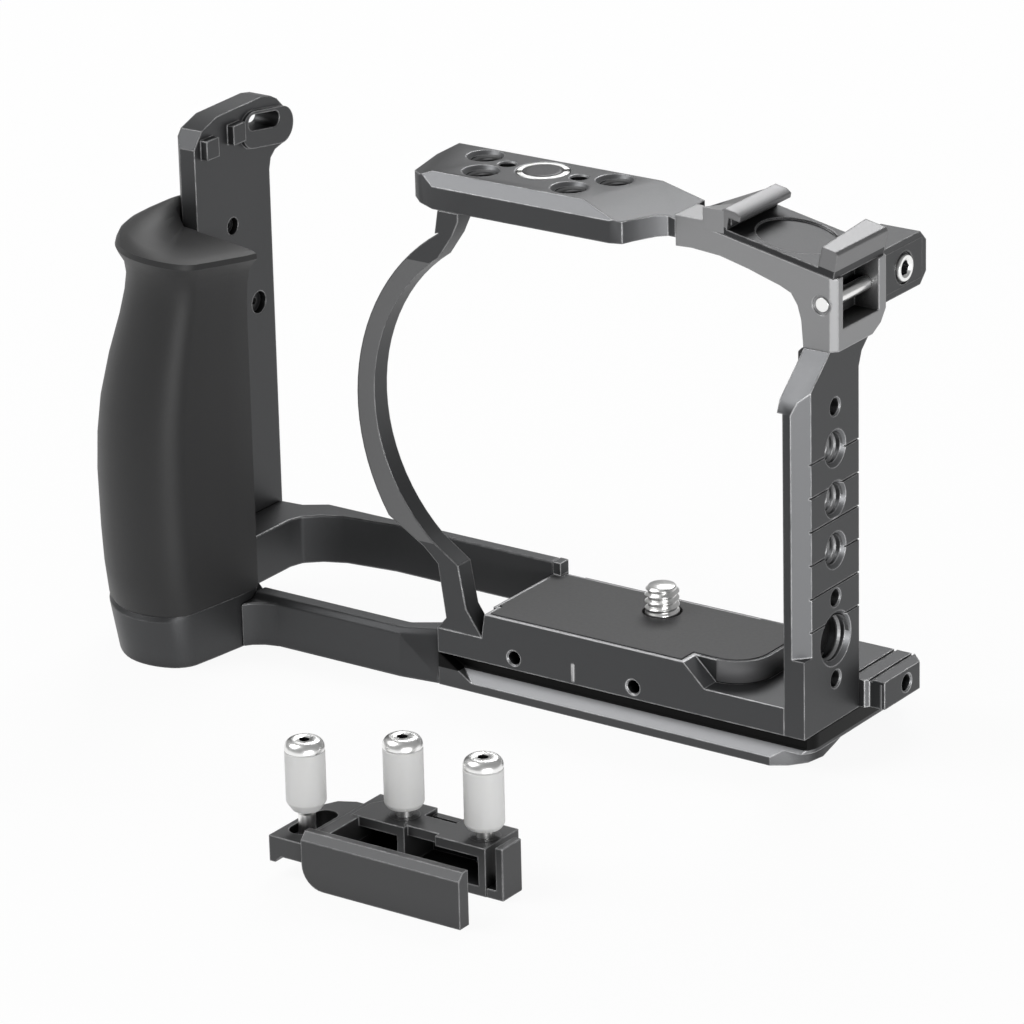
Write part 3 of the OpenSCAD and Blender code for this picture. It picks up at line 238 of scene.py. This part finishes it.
def blended(tree, factor, first, second):
    """A colour from first to second by factor."""
    mix = put(tree, "ShaderNodeMix", factor, data_type="RGBA")
    feed(tree, mix.inputs[6], first)
    feed(tree, mix.inputs[7], second)
    return mix.outputs[2]


def in_object(tree, what):
    """Object space: the place, as Object, or the face's direction, as Normal."""
    return put(tree, "ShaderNodeTexCoord").outputs[what]


# ---------------------------------------------------------------- effects that the finishes share, with painted light and shade
SCRATCH_TURN, SCRATCH_SCALE = (0.3, 0.5, 0.2), (900.0, 160.0, 60.0)
EDGE_WIDTH, EDGE_SAMPLES = 0.36 * MM, 4
OPEN_SAMPLES = 8
LOOKS_FRONT = -0.9  # y part of a normal, under which the face looks to the front


def grain_group():
    """Blasted or moulded skin: fine grain, slow cloudiness and light scratches, in object space.
    Colour = base * (1 + spread * (cloud - 1/2) + scratch), roughness = base + rough spread * (grain - 1/2),
    height = grain - scratch."""
    tree, given, result = new_group(
        "surface_grain",
        [("Colour", COLOUR, GREY), ("Spread", FLOAT, 0.2), ("Grain size", FLOAT, 2500.0),
         ("Roughness", FLOAT, 0.4), ("Rough spread", FLOAT, 0.1), ("Scratches", FLOAT, 0.2)],
        [("Colour", COLOUR), ("Roughness", FLOAT), ("Height", FLOAT)],
    )

    def centred(value, amount):
        return worked(tree, "MULTIPLY", worked(tree, "SUBTRACT", value, 0.5), amount)

    place = in_object(tree, "Object")
    fine = noise(tree, place, Scale=given["Grain size"], Detail=3.0, Roughness=0.6)
    cloud = noise(tree, place, Scale=38.0, Detail=4.0, Roughness=0.55)
    drawn = put(tree, "ShaderNodeMapping", Vector=place, Rotation=SCRATCH_TURN, Scale=SCRATCH_SCALE)
    streak = noise(tree, drawn.outputs[0], Scale=1.0, Detail=2.0, Roughness=0.5)
    scratch = worked(tree, "MULTIPLY", ranged(tree, streak, 0.66, 0.78, 0.0, 1.0), given["Scratches"])
    cloudy = worked(tree, "ADD", centred(cloud, given["Spread"]), 1.0)
    feed(tree, result["Colour"], tinted(tree, given["Colour"], worked(tree, "ADD", cloudy, scratch)))
    uneven = centred(fine, given["Rough spread"])
    feed(tree, result["Roughness"], worked(tree, "ADD", given["Roughness"], uneven, clamp=True))
    feed(tree, result["Height"], worked(tree, "SUBTRACT", fine, scratch))
    return tree


def worn_lit_edge_group():
    """Rubbed edges, partly wear and partly a painted highlight along every edge: mask = amount * patchy *
    sharp, where sharp grows as the rounded normal leaves the face's own, and patchy is noise. Colour = mix by
    the mask."""
    tree, given, result = new_group(
        "rubbed_and_lit_edges",
        [("Colour", COLOUR, GREY), ("Edge colour", COLOUR, (0.4, 0.4, 0.4, 1)), ("Amount", FLOAT, 0.5)],
        [("Colour", COLOUR)],
    )
    own = put(tree, "ShaderNodeNewGeometry").outputs["Normal"]
    rounded = put(tree, "ShaderNodeBevel", samples=EDGE_SAMPLES, Radius=EDGE_WIDTH).outputs[0]
    near = put(tree, "ShaderNodeVectorMath", own, rounded, operation="DOT_PRODUCT").outputs["Value"]
    sharp = ranged(tree, near, 0.997, 0.945, 0.0, 1.0)
    patch = noise(tree, in_object(tree, "Object"), Scale=420.0, Detail=3.0)
    patchy = ranged(tree, patch, 0.3, 0.6, 0.35, 1.0)
    mask = worked(tree, "MULTIPLY", worked(tree, "MULTIPLY", sharp, patchy), given["Amount"], clamp=True)
    feed(tree, result["Colour"], blended(tree, mask, given["Colour"], given["Edge colour"]))
    return tree


def deep_shade_group():
    """Painted shade in deep places: colour = colour * limit of how open the surface is within reach."""
    tree, given, result = new_group(
        "painted_deep_shade", [("Colour", COLOUR, GREY), ("Reach", FLOAT, 6 * MM)], [("Colour", COLOUR)])
    around = put(tree, "ShaderNodeAmbientOcclusion", samples=OPEN_SAMPLES, Distance=given["Reach"])
    light = ranged(tree, around.outputs["AO"], 0.2, 0.56, 0.02, 1.0)
    feed(tree, result["Colour"], tinted(tree, given["Colour"], light))
    return tree


def light_shade_band_group():
    """A band of painted light, or of painted shade where its colour is dark: mask = 1 where low < z + slope * x
    < high and x < far in object space (with Front 1, only on faces that look to -y), and colour = mix by it."""
    tree, given, result = new_group(
        "painted_light_shade_band",
        [("Colour", COLOUR, GREY), ("Band colour", COLOUR, GREY), ("Low", FLOAT, 0.0), ("High", FLOAT, 0.0),
         ("Slope", FLOAT, 0.0), ("Far", FLOAT, 1.0), ("Front", FLOAT, 0.0)],
        [("Colour", COLOUR)],
    )
    x, _, z = put(tree, "ShaderNodeSeparateXYZ", in_object(tree, "Object")).outputs
    height = worked(tree, "MULTIPLY_ADD", x, given["Slope"], z)
    over = worked(tree, "GREATER_THAN", height, given["Low"])
    under = worked(tree, "LESS_THAN", height, given["High"])
    near = worked(tree, "LESS_THAN", x, given["Far"])
    inside = worked(tree, "MULTIPLY", worked(tree, "MULTIPLY", over, under), near)
    facing = put(tree, "ShaderNodeSeparateXYZ", in_object(tree, "Normal")).outputs[1]
    away = worked(tree, "GREATER_THAN", facing, LOOKS_FRONT)
    shown = worked(tree, "SUBTRACT", 1.0, worked(tree, "MULTIPLY", away, given["Front"]))
    mask = worked(tree, "MULTIPLY", inside, shown)
    feed(tree, result["Colour"], blended(tree, mask, given["Colour"], given["Band colour"]))
    return tree


def chamfer_highlight_group():
    """A painted highlight on chamfers, which makes them lighter than the flats: slant = limit of 1 - the
    largest part of the normal in the object's axes, and colour = colour * (1 + lift * slant)."""
    tree, given, result = new_group(
        "painted_chamfer_highlight", [("Colour", COLOUR, GREY), ("Lift", FLOAT, 1.0)], [("Colour", COLOUR)])
    size = put(tree, "ShaderNodeVectorMath", in_object(tree, "Normal"), operation="ABSOLUTE").outputs[0]
    x, y, z = put(tree, "ShaderNodeSeparateXYZ", size).outputs
    most = worked(tree, "MAXIMUM", worked(tree, "MAXIMUM", x, y), z)
    slant = ranged(tree, most, 0.985, 0.9, 0.0, 1.0)
    light = worked(tree, "MULTIPLY_ADD", slant, given["Lift"], 1.0)
    feed(tree, result["Colour"], tinted(tree, given["Colour"], light))
    return tree


GRAIN, WORN_LIT_EDGES, LIGHT_SHADE_BAND, CHAMFER_HIGHLIGHT, PAINTED_SHADE = grain_group(), worn_lit_edge_group(), light_shade_band_group(), chamfer_highlight_group(), deep_shade_group()


# ---------------------------------------------------------------- finishes
def place_group(tree, group, values):
    """A shared effect, placed in a material with its own values."""
    node = tree.nodes.new("ShaderNodeGroup")
    node.node_tree = group
    for label, value in values.items():
        feed(tree, node.inputs[label], value)
    return node.outputs


def finish_material(name, colour, rough, metallic=0.0, spread=0.2, grain=2500.0, rough_spread=0.1,
                    scratches=0.0, edge=None, edge_amount=0.6, bump=0.08, bump_mm=0.02, sheen=0.0,
                    subsurface=0.0, round_mm=0.0, painted_band=None, highlight_lift=0.0, shade_reach=0.0):
    """A finish of the object: the grain, then where given the rubbed edges with their painted highlight, a band
    of painted light or shade, a painted highlight on chamfers and painted shade in deep places, into one
    Principled shader whose normal has the grain's relief on rounded edges."""
    mat = bpy.data.materials.new(name)
    mat.use_nodes = True
    tree = mat.node_tree
    shader = tree.nodes["Principled BSDF"].inputs
    skin = place_group(tree, GRAIN, {"Colour": (*colour, 1), "Spread": spread, "Grain size": grain,
                                     "Roughness": rough, "Rough spread": rough_spread,
                                     "Scratches": scratches})
    tint = skin["Colour"]
    if edge:
        tint = place_group(tree, WORN_LIT_EDGES, {"Colour": tint, "Edge colour": (*edge, 1),
                                         "Amount": edge_amount})["Colour"]
    if painted_band:
        tint = place_group(tree, LIGHT_SHADE_BAND, {"Colour": tint, **painted_band})["Colour"]
    if highlight_lift:
        tint = place_group(tree, CHAMFER_HIGHLIGHT, {"Colour": tint, "Lift": highlight_lift})["Colour"]
    if shade_reach:
        tint = place_group(tree, PAINTED_SHADE, {"Colour": tint, "Reach": shade_reach * MM})["Colour"]
    relief = put(tree, "ShaderNodeBump", Strength=bump, Distance=bump_mm * MM, Height=skin["Height"])
    if round_mm:
        soft = put(tree, "ShaderNodeBevel", samples=6, Radius=round_mm * MM)
        feed(tree, relief.inputs["Normal"], soft.outputs[0])
    feed(tree, shader["Base Color"], tint)
    feed(tree, shader["Roughness"], skin["Roughness"])
    feed(tree, shader["Normal"], relief.outputs["Normal"])
    shader["Metallic"].default_value = metallic
    shader["Sheen Weight"].default_value = sheen
    if subsurface:
        shader["Subsurface Weight"].default_value = subsurface
        shader["Subsurface Radius"].default_value = (0.0012, 0.0012, 0.001)
    return mat


def edge_tone(value):
    """Metal that shows at a rubbed edge, and a painted highlight there: a slightly cool grey."""
    return (value, value, value + 0.005)


def light_shade_band_of(low, high, colour, slope=0.0, far=200.0, front=0.0):
    """Values for a band of painted light or painted shade, from lengths in millimetres."""
    return {"Band colour": (*colour, 1), "Low": low * MM, "High": high * MM, "Slope": slope,
            "Far": far * MM, "Front": front}


METAL = dict(rough=0.44, metallic=0.8, spread=0.05, scratches=0.02)
# Anodised metal: painted shade in its deep places, and a painted highlight with the wear on its rubbed edges
ANODISED = dict(METAL, colour=(0.062, 0.063, 0.065), edge=edge_tone(0.46), edge_amount=0.85, round_mm=0.5, shade_reach=6)
# A paler tone of the same anodised metal: painted light
PAINTED_LIT_TONE = (0.28, 0.281, 0.285)
FINISHES = {
    "anodised": ANODISED,
    # A painted highlight on the chamfers
    "anodised_lit_chamfers": dict(ANODISED, edge=edge_tone(0.36), highlight_lift=1.4),
    # A painted shadow on the rail's upper part, in the groove under the base, and a painted highlight on its
    # chamfers
    "rail_metal": dict(ANODISED, colour=(0.072, 0.073, 0.075), edge=edge_tone(0.36), highlight_lift=1.6,
                       painted_band=light_shade_band_of(-12.5, 0, (0.002, 0.002, 0.002))),
    # A painted highlight along the seat's front edge and on the chamfers, and painted shade in deep places
    "base_metal": dict(ANODISED, edge=edge_tone(0.5), edge_amount=1.0, highlight_lift=1.4, shade_reach=4,
                       painted_band=light_shade_band_of(-0.36, -0.08, edge_tone(0.3), far=17)),
    # A painted highlight in a sloping band over the shoe's lips
    "shoe_metal": dict(ANODISED, colour=(0.036, 0.0365, 0.038), edge=edge_tone(0.42),
                       painted_band=light_shade_band_of(82.1, 120, (0.2, 0.2, 0.203), slope=0.1944)),
    # The arm's front faces are painted lighter in a band: painted light
    "arm_metal": dict(ANODISED, painted_band=light_shade_band_of(11.2, 64.5, (0.15, 0.151, 0.153), front=1)),
    # A painted shadow at the foot of the seat's wall
    "seat_wall": dict(colour=(0.1, 0.1, 0.103), rough=0.65, spread=0.05, grain=1500.0,
                      painted_band=light_shade_band_of(-5, -4.2, (0.003, 0.003, 0.003))),
    # The same anodised metal, paler: painted light, with painted shade in deep places
    "anodised_light": dict(ANODISED, colour=PAINTED_LIT_TONE, edge=edge_tone(0.55), edge_amount=0.8, shade_reach=12),
    # A plain pale copy of the anodised metal: painted light, for the glints in threads, the web and the lug
    "anodised_painted_light": dict(METAL, colour=PAINTED_LIT_TONE),
    # Painted shade in the clamp's deep places
    "clamp_metal": dict(colour=(0.068, 0.0685, 0.07), rough=0.46, metallic=0.7, spread=0.05, scratches=0.03,
                        edge=edge_tone(0.42), edge_amount=0.85, round_mm=0.35, shade_reach=9),
    "grip_rubber": dict(colour=(0.0085, 0.0085, 0.009), rough=0.58, spread=0.05, grain=2600.0,
                        rough_spread=0.08, bump=0.1, bump_mm=0.03, sheen=0.09),
    "pad_rubber": dict(colour=(0.034, 0.034, 0.0355), rough=0.6, spread=0.06, grain=1500.0,
                       rough_spread=0.12, bump=0.25, bump_mm=0.05),
    "inner_plastic": dict(colour=(0.04, 0.04, 0.042), rough=0.5, spread=0.1),
    "steel": dict(colour=(0.92, 0.92, 0.91), rough=0.3, metallic=1.0, spread=0.12, grain=900.0,
                  scratches=0.08, bump=0.05),
    "black_steel": dict(colour=(0.03, 0.03, 0.032), rough=0.38, metallic=0.6, spread=0.1,
                        edge=(0.2, 0.2, 0.2)),
    "mark_white": dict(colour=(0.55, 0.55, 0.55), rough=0.5, spread=0.05),
    "sleeve_plastic": dict(colour=(0.6, 0.6, 0.595), rough=0.42, spread=0.04, grain=700.0,
                           rough_spread=0.08, bump=0.04, subsurface=0.2),
}
MATERIALS = {name: finish_material(name, **values) for name, values in FINISHES.items()}


# ---------------------------------------------------------------- CAD nodes
FINISH_OF = {row["node"]: row["material_slot"] for row in frame["record"]["subparts"]}
FINISH_OF.update(curved_arm="arm_metal", loop_front_arm="anodised", cold_shoe="shoe_metal",
                 top_plate="anodised_lit_chamfers", base_plate="base_metal", dovetail_rail="rail_metal",
                 side_column="anodised_lit_chamfers")
EDGE_ROUND = {"grip_sleeve": 0.35, "seat_pad": 0.15, "curved_arm": 0.45, "loop_front_arm": 0.35,
              "loop_rear_arm": 0.35, "grip_foot": 0.35, "handle_post": 0.4, "top_plate": 0.3,
              "shoe_arch": 0.3, "cold_shoe": 0.15, "side_column": 0.3, "base_plate": 0.25,
              "dovetail_rail": 0.3, "rear_block": 0.35, "clamp_body": 0.2, "clamp_hook": 0.2,
              "column_pad": 0.25}  # mm
SMALL_ROUND = 0.1  # mm, for the nodes that aren't named above
SOFT_FORMS = ("grip_sleeve", "grip_core")
FLAT_ANGLE, CORNER_ANGLE = math.radians(0.4), math.radians(28)


def dress_node(node, obj):
    """Gives a node its finish, joins its loose triangles and merges its flat faces by modifiers, and rounds its
    edges a little."""
    obj.data.materials.clear()
    obj.data.materials.append(MATERIALS[FINISH_OF[node]])
    if "custom_normal" in obj.data.attributes:
        obj.data.attributes.remove(obj.data.attributes["custom_normal"])
    obj.data.polygons.foreach_set("use_smooth", [True] * len(obj.data.polygons))
    obj.modifiers.new("weld", "WELD").merge_threshold = JOIN
    if node not in SOFT_FORMS:
        flat = obj.modifiers.new("flat_faces", "DECIMATE")
        flat.decimate_type = "DISSOLVE"
        flat.angle_limit = FLAT_ANGLE
    bevel = obj.modifiers.new("edges", "BEVEL")
    bevel.width = EDGE_ROUND.get(node, SMALL_ROUND) * MM
    bevel.segments = 2
    bevel.limit_method = "ANGLE"
    bevel.angle_limit = CORNER_ANGLE
    bevel.use_clamp_overlap = True
    bevel.harden_normals = True
    bevel.miter_outer = "MITER_ARC"


for node, obj in frame["nodes"].items():
    dress_node(node, obj)


def add(obj, body, slot, *nodes, finish=None):
    """Gives a new piece its finish and body, and hides the CAD nodes that it stands for."""
    obj.data.materials.append(MATERIALS[finish or slot])
    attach(obj, body)
    if nodes:
        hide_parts(*nodes)
    return obj


def shade_socket(obj, centre, radius, below):
    """Paints shade into a socket: gives the black finish to the faces within radius of the line through centre
    and under a height along it. The line runs along the axis whose place in centre is None."""
    obj.data.materials.append(MATERIALS["black_steel"])
    axis = centre.index(None)
    across = [k for k in range(3) if k != axis]
    hub = [centre[k] for k in across]
    for face in obj.data.polygons:
        spots = [obj.data.vertices[i].co / MM for i in face.vertices]
        if all(math.dist([p[k] for k in across], hub) < radius and p[axis] < below for p in spots):
            face.material_index = 1


# ---------------------------------------------------------------- camera screw
SCREW_R, SCREW_PITCH, SCREW_DEPTH, SCREW_TOP, SCREW_TIP = 3.175, 1.27, 0.62, 5.0, 0.75
HEAD_R, HEAD_TOP, HEAD_LOW, HEAD_ROUND = 6.0, -7.8, -9.8, 0.3
SLOT_HALF, SLOT_TOP, SLOT_CUT = 0.7, -8.8, (8, -12)


def camera_screw():
    """The camera screw: the threaded rod, and the flat head with a slot cut through it."""
    rod = threaded_rod("camera_screw_thread", SCREW_R, SCREW_DEPTH, SCREW_PITCH, HEAD_TOP, SCREW_TOP, 0.0,
                       SCREW_TIP)
    head = turned("camera_screw_head", [(HEAD_R - HEAD_ROUND, HEAD_LOW), (HEAD_R, HEAD_LOW + HEAD_ROUND),
                                        (HEAD_R, HEAD_TOP - HEAD_ROUND), (HEAD_R - HEAD_ROUND, HEAD_TOP)],
                  (0, 0, 0))
    reach, low = SLOT_CUT
    corners = [(x, y, z) for x in (-reach, reach) for y in (-SLOT_HALF, SLOT_HALF) for z in (low, SLOT_TOP)]
    cut = mesh_piece("cut", corners, [(0, 1, 3, 2), (4, 6, 7, 5), (0, 4, 5, 1), (2, 3, 7, 6), (0, 2, 6, 4),
                                      (1, 5, 7, 3)], smooth=False)
    for obj in (rod, head, cut):
        outward(obj)
    mod = head.modifiers.new("slot", "BOOLEAN")
    mod.operation, mod.object, mod.solver = "DIFFERENCE", cut, "EXACT"
    made = bpy.data.meshes.new_from_object(head.evaluated_get(bpy.context.evaluated_depsgraph_get()))
    head.modifiers.clear()
    head.data = made
    bpy.data.objects.remove(cut)
    return rod, head


rod, head = camera_screw()
add(rod, "camera_screw", "steel", "camera_screw")
add(head, "camera_screw", "steel")

# ---------------------------------------------------------------- thumb screws of the clamp
MIDDLE_AT, RIGHT_AT, FIXING_AT = (3.9, -84.8), (20.4, -84.8), (-9.4, -94.5)
SLEEVE_LOW, SLEEVE_TOP, SLEEVE_BORE = -5.5, 5.3, 2.2
THUMB_R, THUMB_TOP = 3.45, 7.2
BODY_R, SEAT_R, CAP_FLAT_R, MOUTH_R, SOCKET_R = 1.5, 2.1, 2.05, 1.15, 0.87
CAP_ROWS = 14


def thumb_screw(label, body, spot, neck, low_end, taper):
    """A thumb screw of two lathed pieces: the steel core, whose cap is a quarter of an ellipse with a
    six-cornered socket, and the plastic sleeve round it, whose lower end tapers."""
    centre = (*spot, 0)
    low = SLEEVE_TOP + 0.25
    dome = [(CAP_FLAT_R + (THUMB_R - CAP_FLAT_R) * math.cos(a), low + (THUMB_TOP - low) * math.sin(a))
            for a in np.linspace(0, TAU / 4, CAP_ROWS)]
    shank = [(BODY_R, -6.3), (neck, -6.1), (neck, -5.6), (SEAT_R, -5.55), (SEAT_R, -5.45)]
    collar = [(SEAT_R + 0.05, SLEEVE_TOP - 0.02), (THUMB_R - 0.06, SLEEVE_TOP), (THUMB_R, low - 0.15)]
    hole = [(MOUTH_R, THUMB_TOP), (SOCKET_R, THUMB_TOP - 0.12), (SOCKET_R, THUMB_TOP - 2)]
    core = outward(turned(label + "_core", low_end + shank + collar + dome + hole, centre, socket=2))
    core.modifiers.new("crisp", "EDGE_SPLIT").split_angle = math.radians(38)
    widest = SLEEVE_LOW + 1.5 * taper
    sleeve = outward(turned(label + "_grip", [
        (SLEEVE_BORE, SLEEVE_LOW), (THUMB_R - taper, SLEEVE_LOW), (THUMB_R - 0.03, widest),
        (THUMB_R, widest + 0.3), (THUMB_R, SLEEVE_TOP - 0.25), (THUMB_R - 0.2, SLEEVE_TOP - 0.02),
        (SLEEVE_BORE, SLEEVE_TOP - 0.02)], centre))
    soften(sleeve, 0.12, angle_limit=math.radians(20))
    add(core, body, "steel", label + "_screw")
    shade_socket(core, (*spot, None), 1.06, THUMB_TOP - 0.05)
    add(sleeve, body, "sleeve_plastic", label + "_sleeve")


PIN_END = [(0.6, -12.8), (0.6, -12.0), (BODY_R - 0.2, -12.0), (BODY_R, -11.8)]
GROOVED_END = [(BODY_R - 0.2, -15.0), (BODY_R, -14.8), (BODY_R, -14.45), (1.1, -14.45), (1.1, -13.75),
               (BODY_R, -13.75)]
thumb_screw("middle", "middle_screw", MIDDLE_AT, BODY_R, PIN_END, 0.5)
thumb_screw("right", "right_screw", RIGHT_AT, BODY_R, PIN_END, 0.5)
thumb_screw("fixing", "fixing_screw", FIXING_AT, 0.9, GROOVED_END, 1.0)

# ---------------------------------------------------------------- rear screw, bushing, threads
RING_AT = (41.1, 15.6, 67.4)
RING_PROFILE = [(1.45, -5.0), (1.5, -4.8), (1.5, -0.6), (2.45, -0.6), (2.45, 0.2), (2.3, 0.42),
                (1.75, 0.42), (1.35, 0.1), (1.25, 0.0), (1.25, -1.5)]
ring = outward(turned("rear_block_ring", RING_PROFILE, RING_AT, socket=2, axis="x"))
ring.modifiers.new("crisp", "EDGE_SPLIT").split_angle = math.radians(35)
add(ring, "cage", "steel", "rear_block_screw")
shade_socket(ring, (None, *RING_AT[1:]), 1.6, RING_AT[0] + 0.05)


def washer(name, inner, outer, low, high, centre, axis="z"):
    """A flat lathed disc whose section runs from the inner radius to the outer one."""
    return turned(name, [(inner, low), (outer, low), (outer, high), (inner, high)], centre, axis=axis)


BUSHING_AT = (-20, -5.7)
bush_top = max(v.co.z for v in frame["nodes"]["reducer_bushing"].data.vertices) / MM
add(washer("bushing_core", 2.8, 3.7, bush_top - 0.1, bush_top + 0.03, (*BUSHING_AT, 0)), "cage", "black_steel")

QUARTER, WIDE = (2.7, 0.22, 1.27), (4.2, 0.3, 1.5875)  # mm: radius, ridge and pitch of the two threads
TOP_HOLES = [(-29.4, -11.3), (-10.6, -11.3), (-33.8, -3.7), (-6.2, -3.7)]
COLUMN_Y, COLUMN_HOLES, WIDE_Z = -7.5, [22.5, 31.9, 41.3], 6.0
THREADS = [("top_thread_%d" % i, (x, y, 80.2), "z", QUARTER, 4.9) for i, (x, y) in enumerate(TOP_HOLES)]
THREADS += [("bushing_thread", (*BUSHING_AT, 79.4), "z", QUARTER, 3.6)]
THREADS += [("column_thread_%d" % i, (40.5, COLUMN_Y, z), "x", QUARTER, 2.9)
            for i, z in enumerate(COLUMN_HOLES)]
THREADS += [("column_wide_thread", (40.6, COLUMN_Y, WIDE_Z), "x", WIDE, 3.0)]
# The threads take the pale finish: painted glints in the holes
for name, mouth, axis, (radius, ridge, pitch), length in THREADS:
    thread = inner_thread(name, mouth, axis, radius, ridge, pitch, length)
    add(thread, "cage", "anodised", finish="anodised_painted_light")


# ---------------------------------------------------------------- small forms and marks, and painted light and shade
def solid(name, low, high):
    """An upright prism between two four-sided outlines, low and high, with its edges rounded a little."""
    obj = mesh_piece(name, list(low) + list(high),
                     [(3, 2, 1, 0), (4, 5, 6, 7), (0, 1, 5, 4), (1, 2, 6, 5), (2, 3, 7, 6), (3, 0, 4, 7)])
    return soften(outward(obj), 0.12)


def box(name, low, high):
    """A prism between two opposite corners, with its edges rounded a little."""
    (a, b, c), (d, e, f) = low, high
    corners = [(a, b), (d, b), (d, e), (a, e)]
    return solid(name, [(x, y, c) for x, y in corners], [(x, y, f) for x, y in corners])


# The web that closes the shoe's front over the arch: (x, y) corners, and the height of its top at each
WEB_LOW, WEB_CORNERS = 77.0, [(15.6, -9.22), (20.0, -9.22), (20.0, -2.0), (17.0, -2.0)]
WEB_TOPS = [81.2, 81.25, 80.8, 79.8]
web = solid("shoe_front_web", [(x, y, WEB_LOW) for x, y in WEB_CORNERS],
            [(x, y, z) for (x, y), z in zip(WEB_CORNERS, WEB_TOPS)])
# The web takes the pale finish: painted light
add(web, "cage", "anodised_light", finish="anodised_painted_light")

# A thin black ring round each screw's shank, under its sleeve: painted shade
for label, spot in (("middle", MIDDLE_AT), ("right", RIGHT_AT)):
    shade_ring = add(washer(label + "_screw_shade_ring", 1.62, 2.75, -7.3, -7.14, (*spot, 0)), "cage", "black_steel")
    shade_ring.data.polygons.foreach_set("use_smooth", [False] * len(shade_ring.data.polygons))

highlight = box("lug_highlight", (45.0, 1.0, -9.8), (45.45, 1.13, -4.9))
add(highlight, "cage", "anodised_light", finish="anodised_painted_light")

# Thin black strips that frame the right face of the rear block, painted shade lines: (y, z) corners
BLOCK_X = (41.0, 41.13)
BLOCK_SHADE_LINES = {"top": ((8.8, 71.3), (21.6, 71.5)), "rear": ((21.4, 64.0), (21.6, 71.5)),
                "low": ((8.8, 64.0), (21.6, 64.2)), "front": ((8.8, 64.0), (9.0, 71.5))}
for label, (low, high) in BLOCK_SHADE_LINES.items():
    add(box("block_shade_line_" + label, (BLOCK_X[0], *low), (BLOCK_X[1], *high)), "cage", "black_steel")

# A black disc in the wide hole: painted shade inside it
wide_shade_disc = washer("column_wide_shade_disc", 0.5, 4.25, 0, 0.18, (37.12, COLUMN_Y, WIDE_Z), axis="x")
add(outward(wide_shade_disc), "cage", "black_steel")

WALL_LOW, WALL_HIGH, WALL_LEFT, WALL_FRONT = -4.6, -0.1, 16.4, -17.5
UPRIGHT = 0.2  # largest z part of an upright face's normal


def seat_wall():
    """A thin skin over the upright wall round the seat's right end: the base's own faces there, 0.12 mm
    thick."""
    base = frame["nodes"]["base_plate"].data
    spots = np.array([v.co for v in base.vertices]) / MM
    near = (spots[:, 2] > WALL_LOW) & (spots[:, 2] < WALL_HIGH)
    near &= (spots[:, 0] > WALL_LEFT) & (spots[:, 1] > WALL_FRONT)
    faces = [list(f.vertices) for f in base.polygons
             if abs(f.normal.z) < UPRIGHT and near[list(f.vertices)].all()]
    used = sorted({i for f in faces for i in f})
    place = {old: new for new, old in enumerate(used)}
    skin = mesh_piece("seat_wall_skin", spots[used], [[place[i] for i in f] for f in faces])
    skin.modifiers.new("join", "WELD").merge_threshold = JOIN
    thick = skin.modifiers.new("thick", "SOLIDIFY")
    thick.thickness, thick.offset = 0.12 * MM, 0
    return skin


add(seat_wall(), "cage", "anodised", finish="seat_wall")
add(box("clamp_pocket_side", (-4.9, -91.0, -14.4), (-2.5, -80.0, -11.5)), "cage", "clamp_metal")
add(box("front_mark", (-7.65, -17.82, -9.1), (-7.15, -17.4, -5.7)), "cage", "anodised", finish="mark_white")

# ---------------------------------------------------------------- floor, surround, light
FLOOR_HALF, FLOOR_GAP, FLOOR_TONE, FLOOR_GLOW = 3000, 0.05, (0.8, 0.8, 0.8, 1), 0.93
SURROUND = 0.3  # what lights the object, while the camera sees plain white


def mixed(tree, factor, first, second, end):
    """Sends a mix of two shaders by factor to the tree's end."""
    mix = put(tree, "ShaderNodeMixShader", factor, first, second)
    feed(tree, tree.nodes[end].inputs[0], mix.outputs[0])


def pale_floor():
    """A pale floor under the object that glows for the camera, gloss and glass, and not for its light."""
    n, z = FLOOR_HALF, FLOOR - FLOOR_GAP
    floor = mesh_piece("floor", [(-n, -n, z), (n, -n, z), (n, n, z), (-n, n, z)], [(0, 1, 2, 3)], smooth=False)
    mat = bpy.data.materials.new("floor")
    mat.use_nodes = True
    tree = mat.node_tree
    shader = tree.nodes["Principled BSDF"]
    shader.inputs["Base Color"].default_value = FLOOR_TONE
    shader.inputs["Roughness"].default_value = 0.9
    glow = put(tree, "ShaderNodeEmission", Strength=1.0)
    ray = put(tree, "ShaderNodeLightPath").outputs
    seen = worked(tree, "MAXIMUM", ray["Is Camera Ray"], ray["Is Glossy Ray"])
    seen = worked(tree, "MAXIMUM", seen, ray["Is Transmission Ray"])
    mixed(tree, worked(tree, "MULTIPLY", seen, FLOOR_GLOW), shader.outputs[0], glow.outputs[0],
          "Material Output")
    floor.data.materials.append(mat)


def white_surround():
    """The world: plain white to the camera, and dimmer as a light."""
    world = bpy.data.worlds.new("studio")
    bpy.context.scene.world = world
    world.use_nodes = True
    tree = world.node_tree
    plain = tree.nodes["Background"]
    plain.inputs["Color"].default_value = (1, 1, 1, 1)
    plain.inputs["Strength"].default_value = SURROUND
    white = put(tree, "ShaderNodeBackground", Strength=1.0)
    ray = put(tree, "ShaderNodeLightPath").outputs
    mixed(tree, ray["Is Camera Ray"], plain.outputs[0], white.outputs[0], "World Output")


def softbox(name, place, aim_z, size, power):
    """A rectangular lamp at place, in metres, aimed at the height aim_z over the origin."""
    data = bpy.data.lights.new(name, "AREA")
    data.shape = "RECTANGLE"
    data.size, data.size_y = size
    data.energy = power
    lamp = bpy.data.objects.new(name, data)
    bpy.context.scene.collection.objects.link(lamp)
    lamp.location = place
    lamp.rotation_mode = "QUATERNION"
    lamp.rotation_quaternion = (Vector((0, 0, aim_z)) - Vector(place)).to_track_quat("-Z", "Y")


pale_floor()
white_surround()
softbox("front_left_light", (-0.7, -0.55, 1.0), 0.02, (0.8, 0.8), 9.5)
softbox("right_light", (0.9, -0.64, 0.09), 0.03, (0.6, 0.2), 7)
softbox("rear_light", (-0.36, 0.86, 0.88), 0.02, (0.6, 0.5), 7)
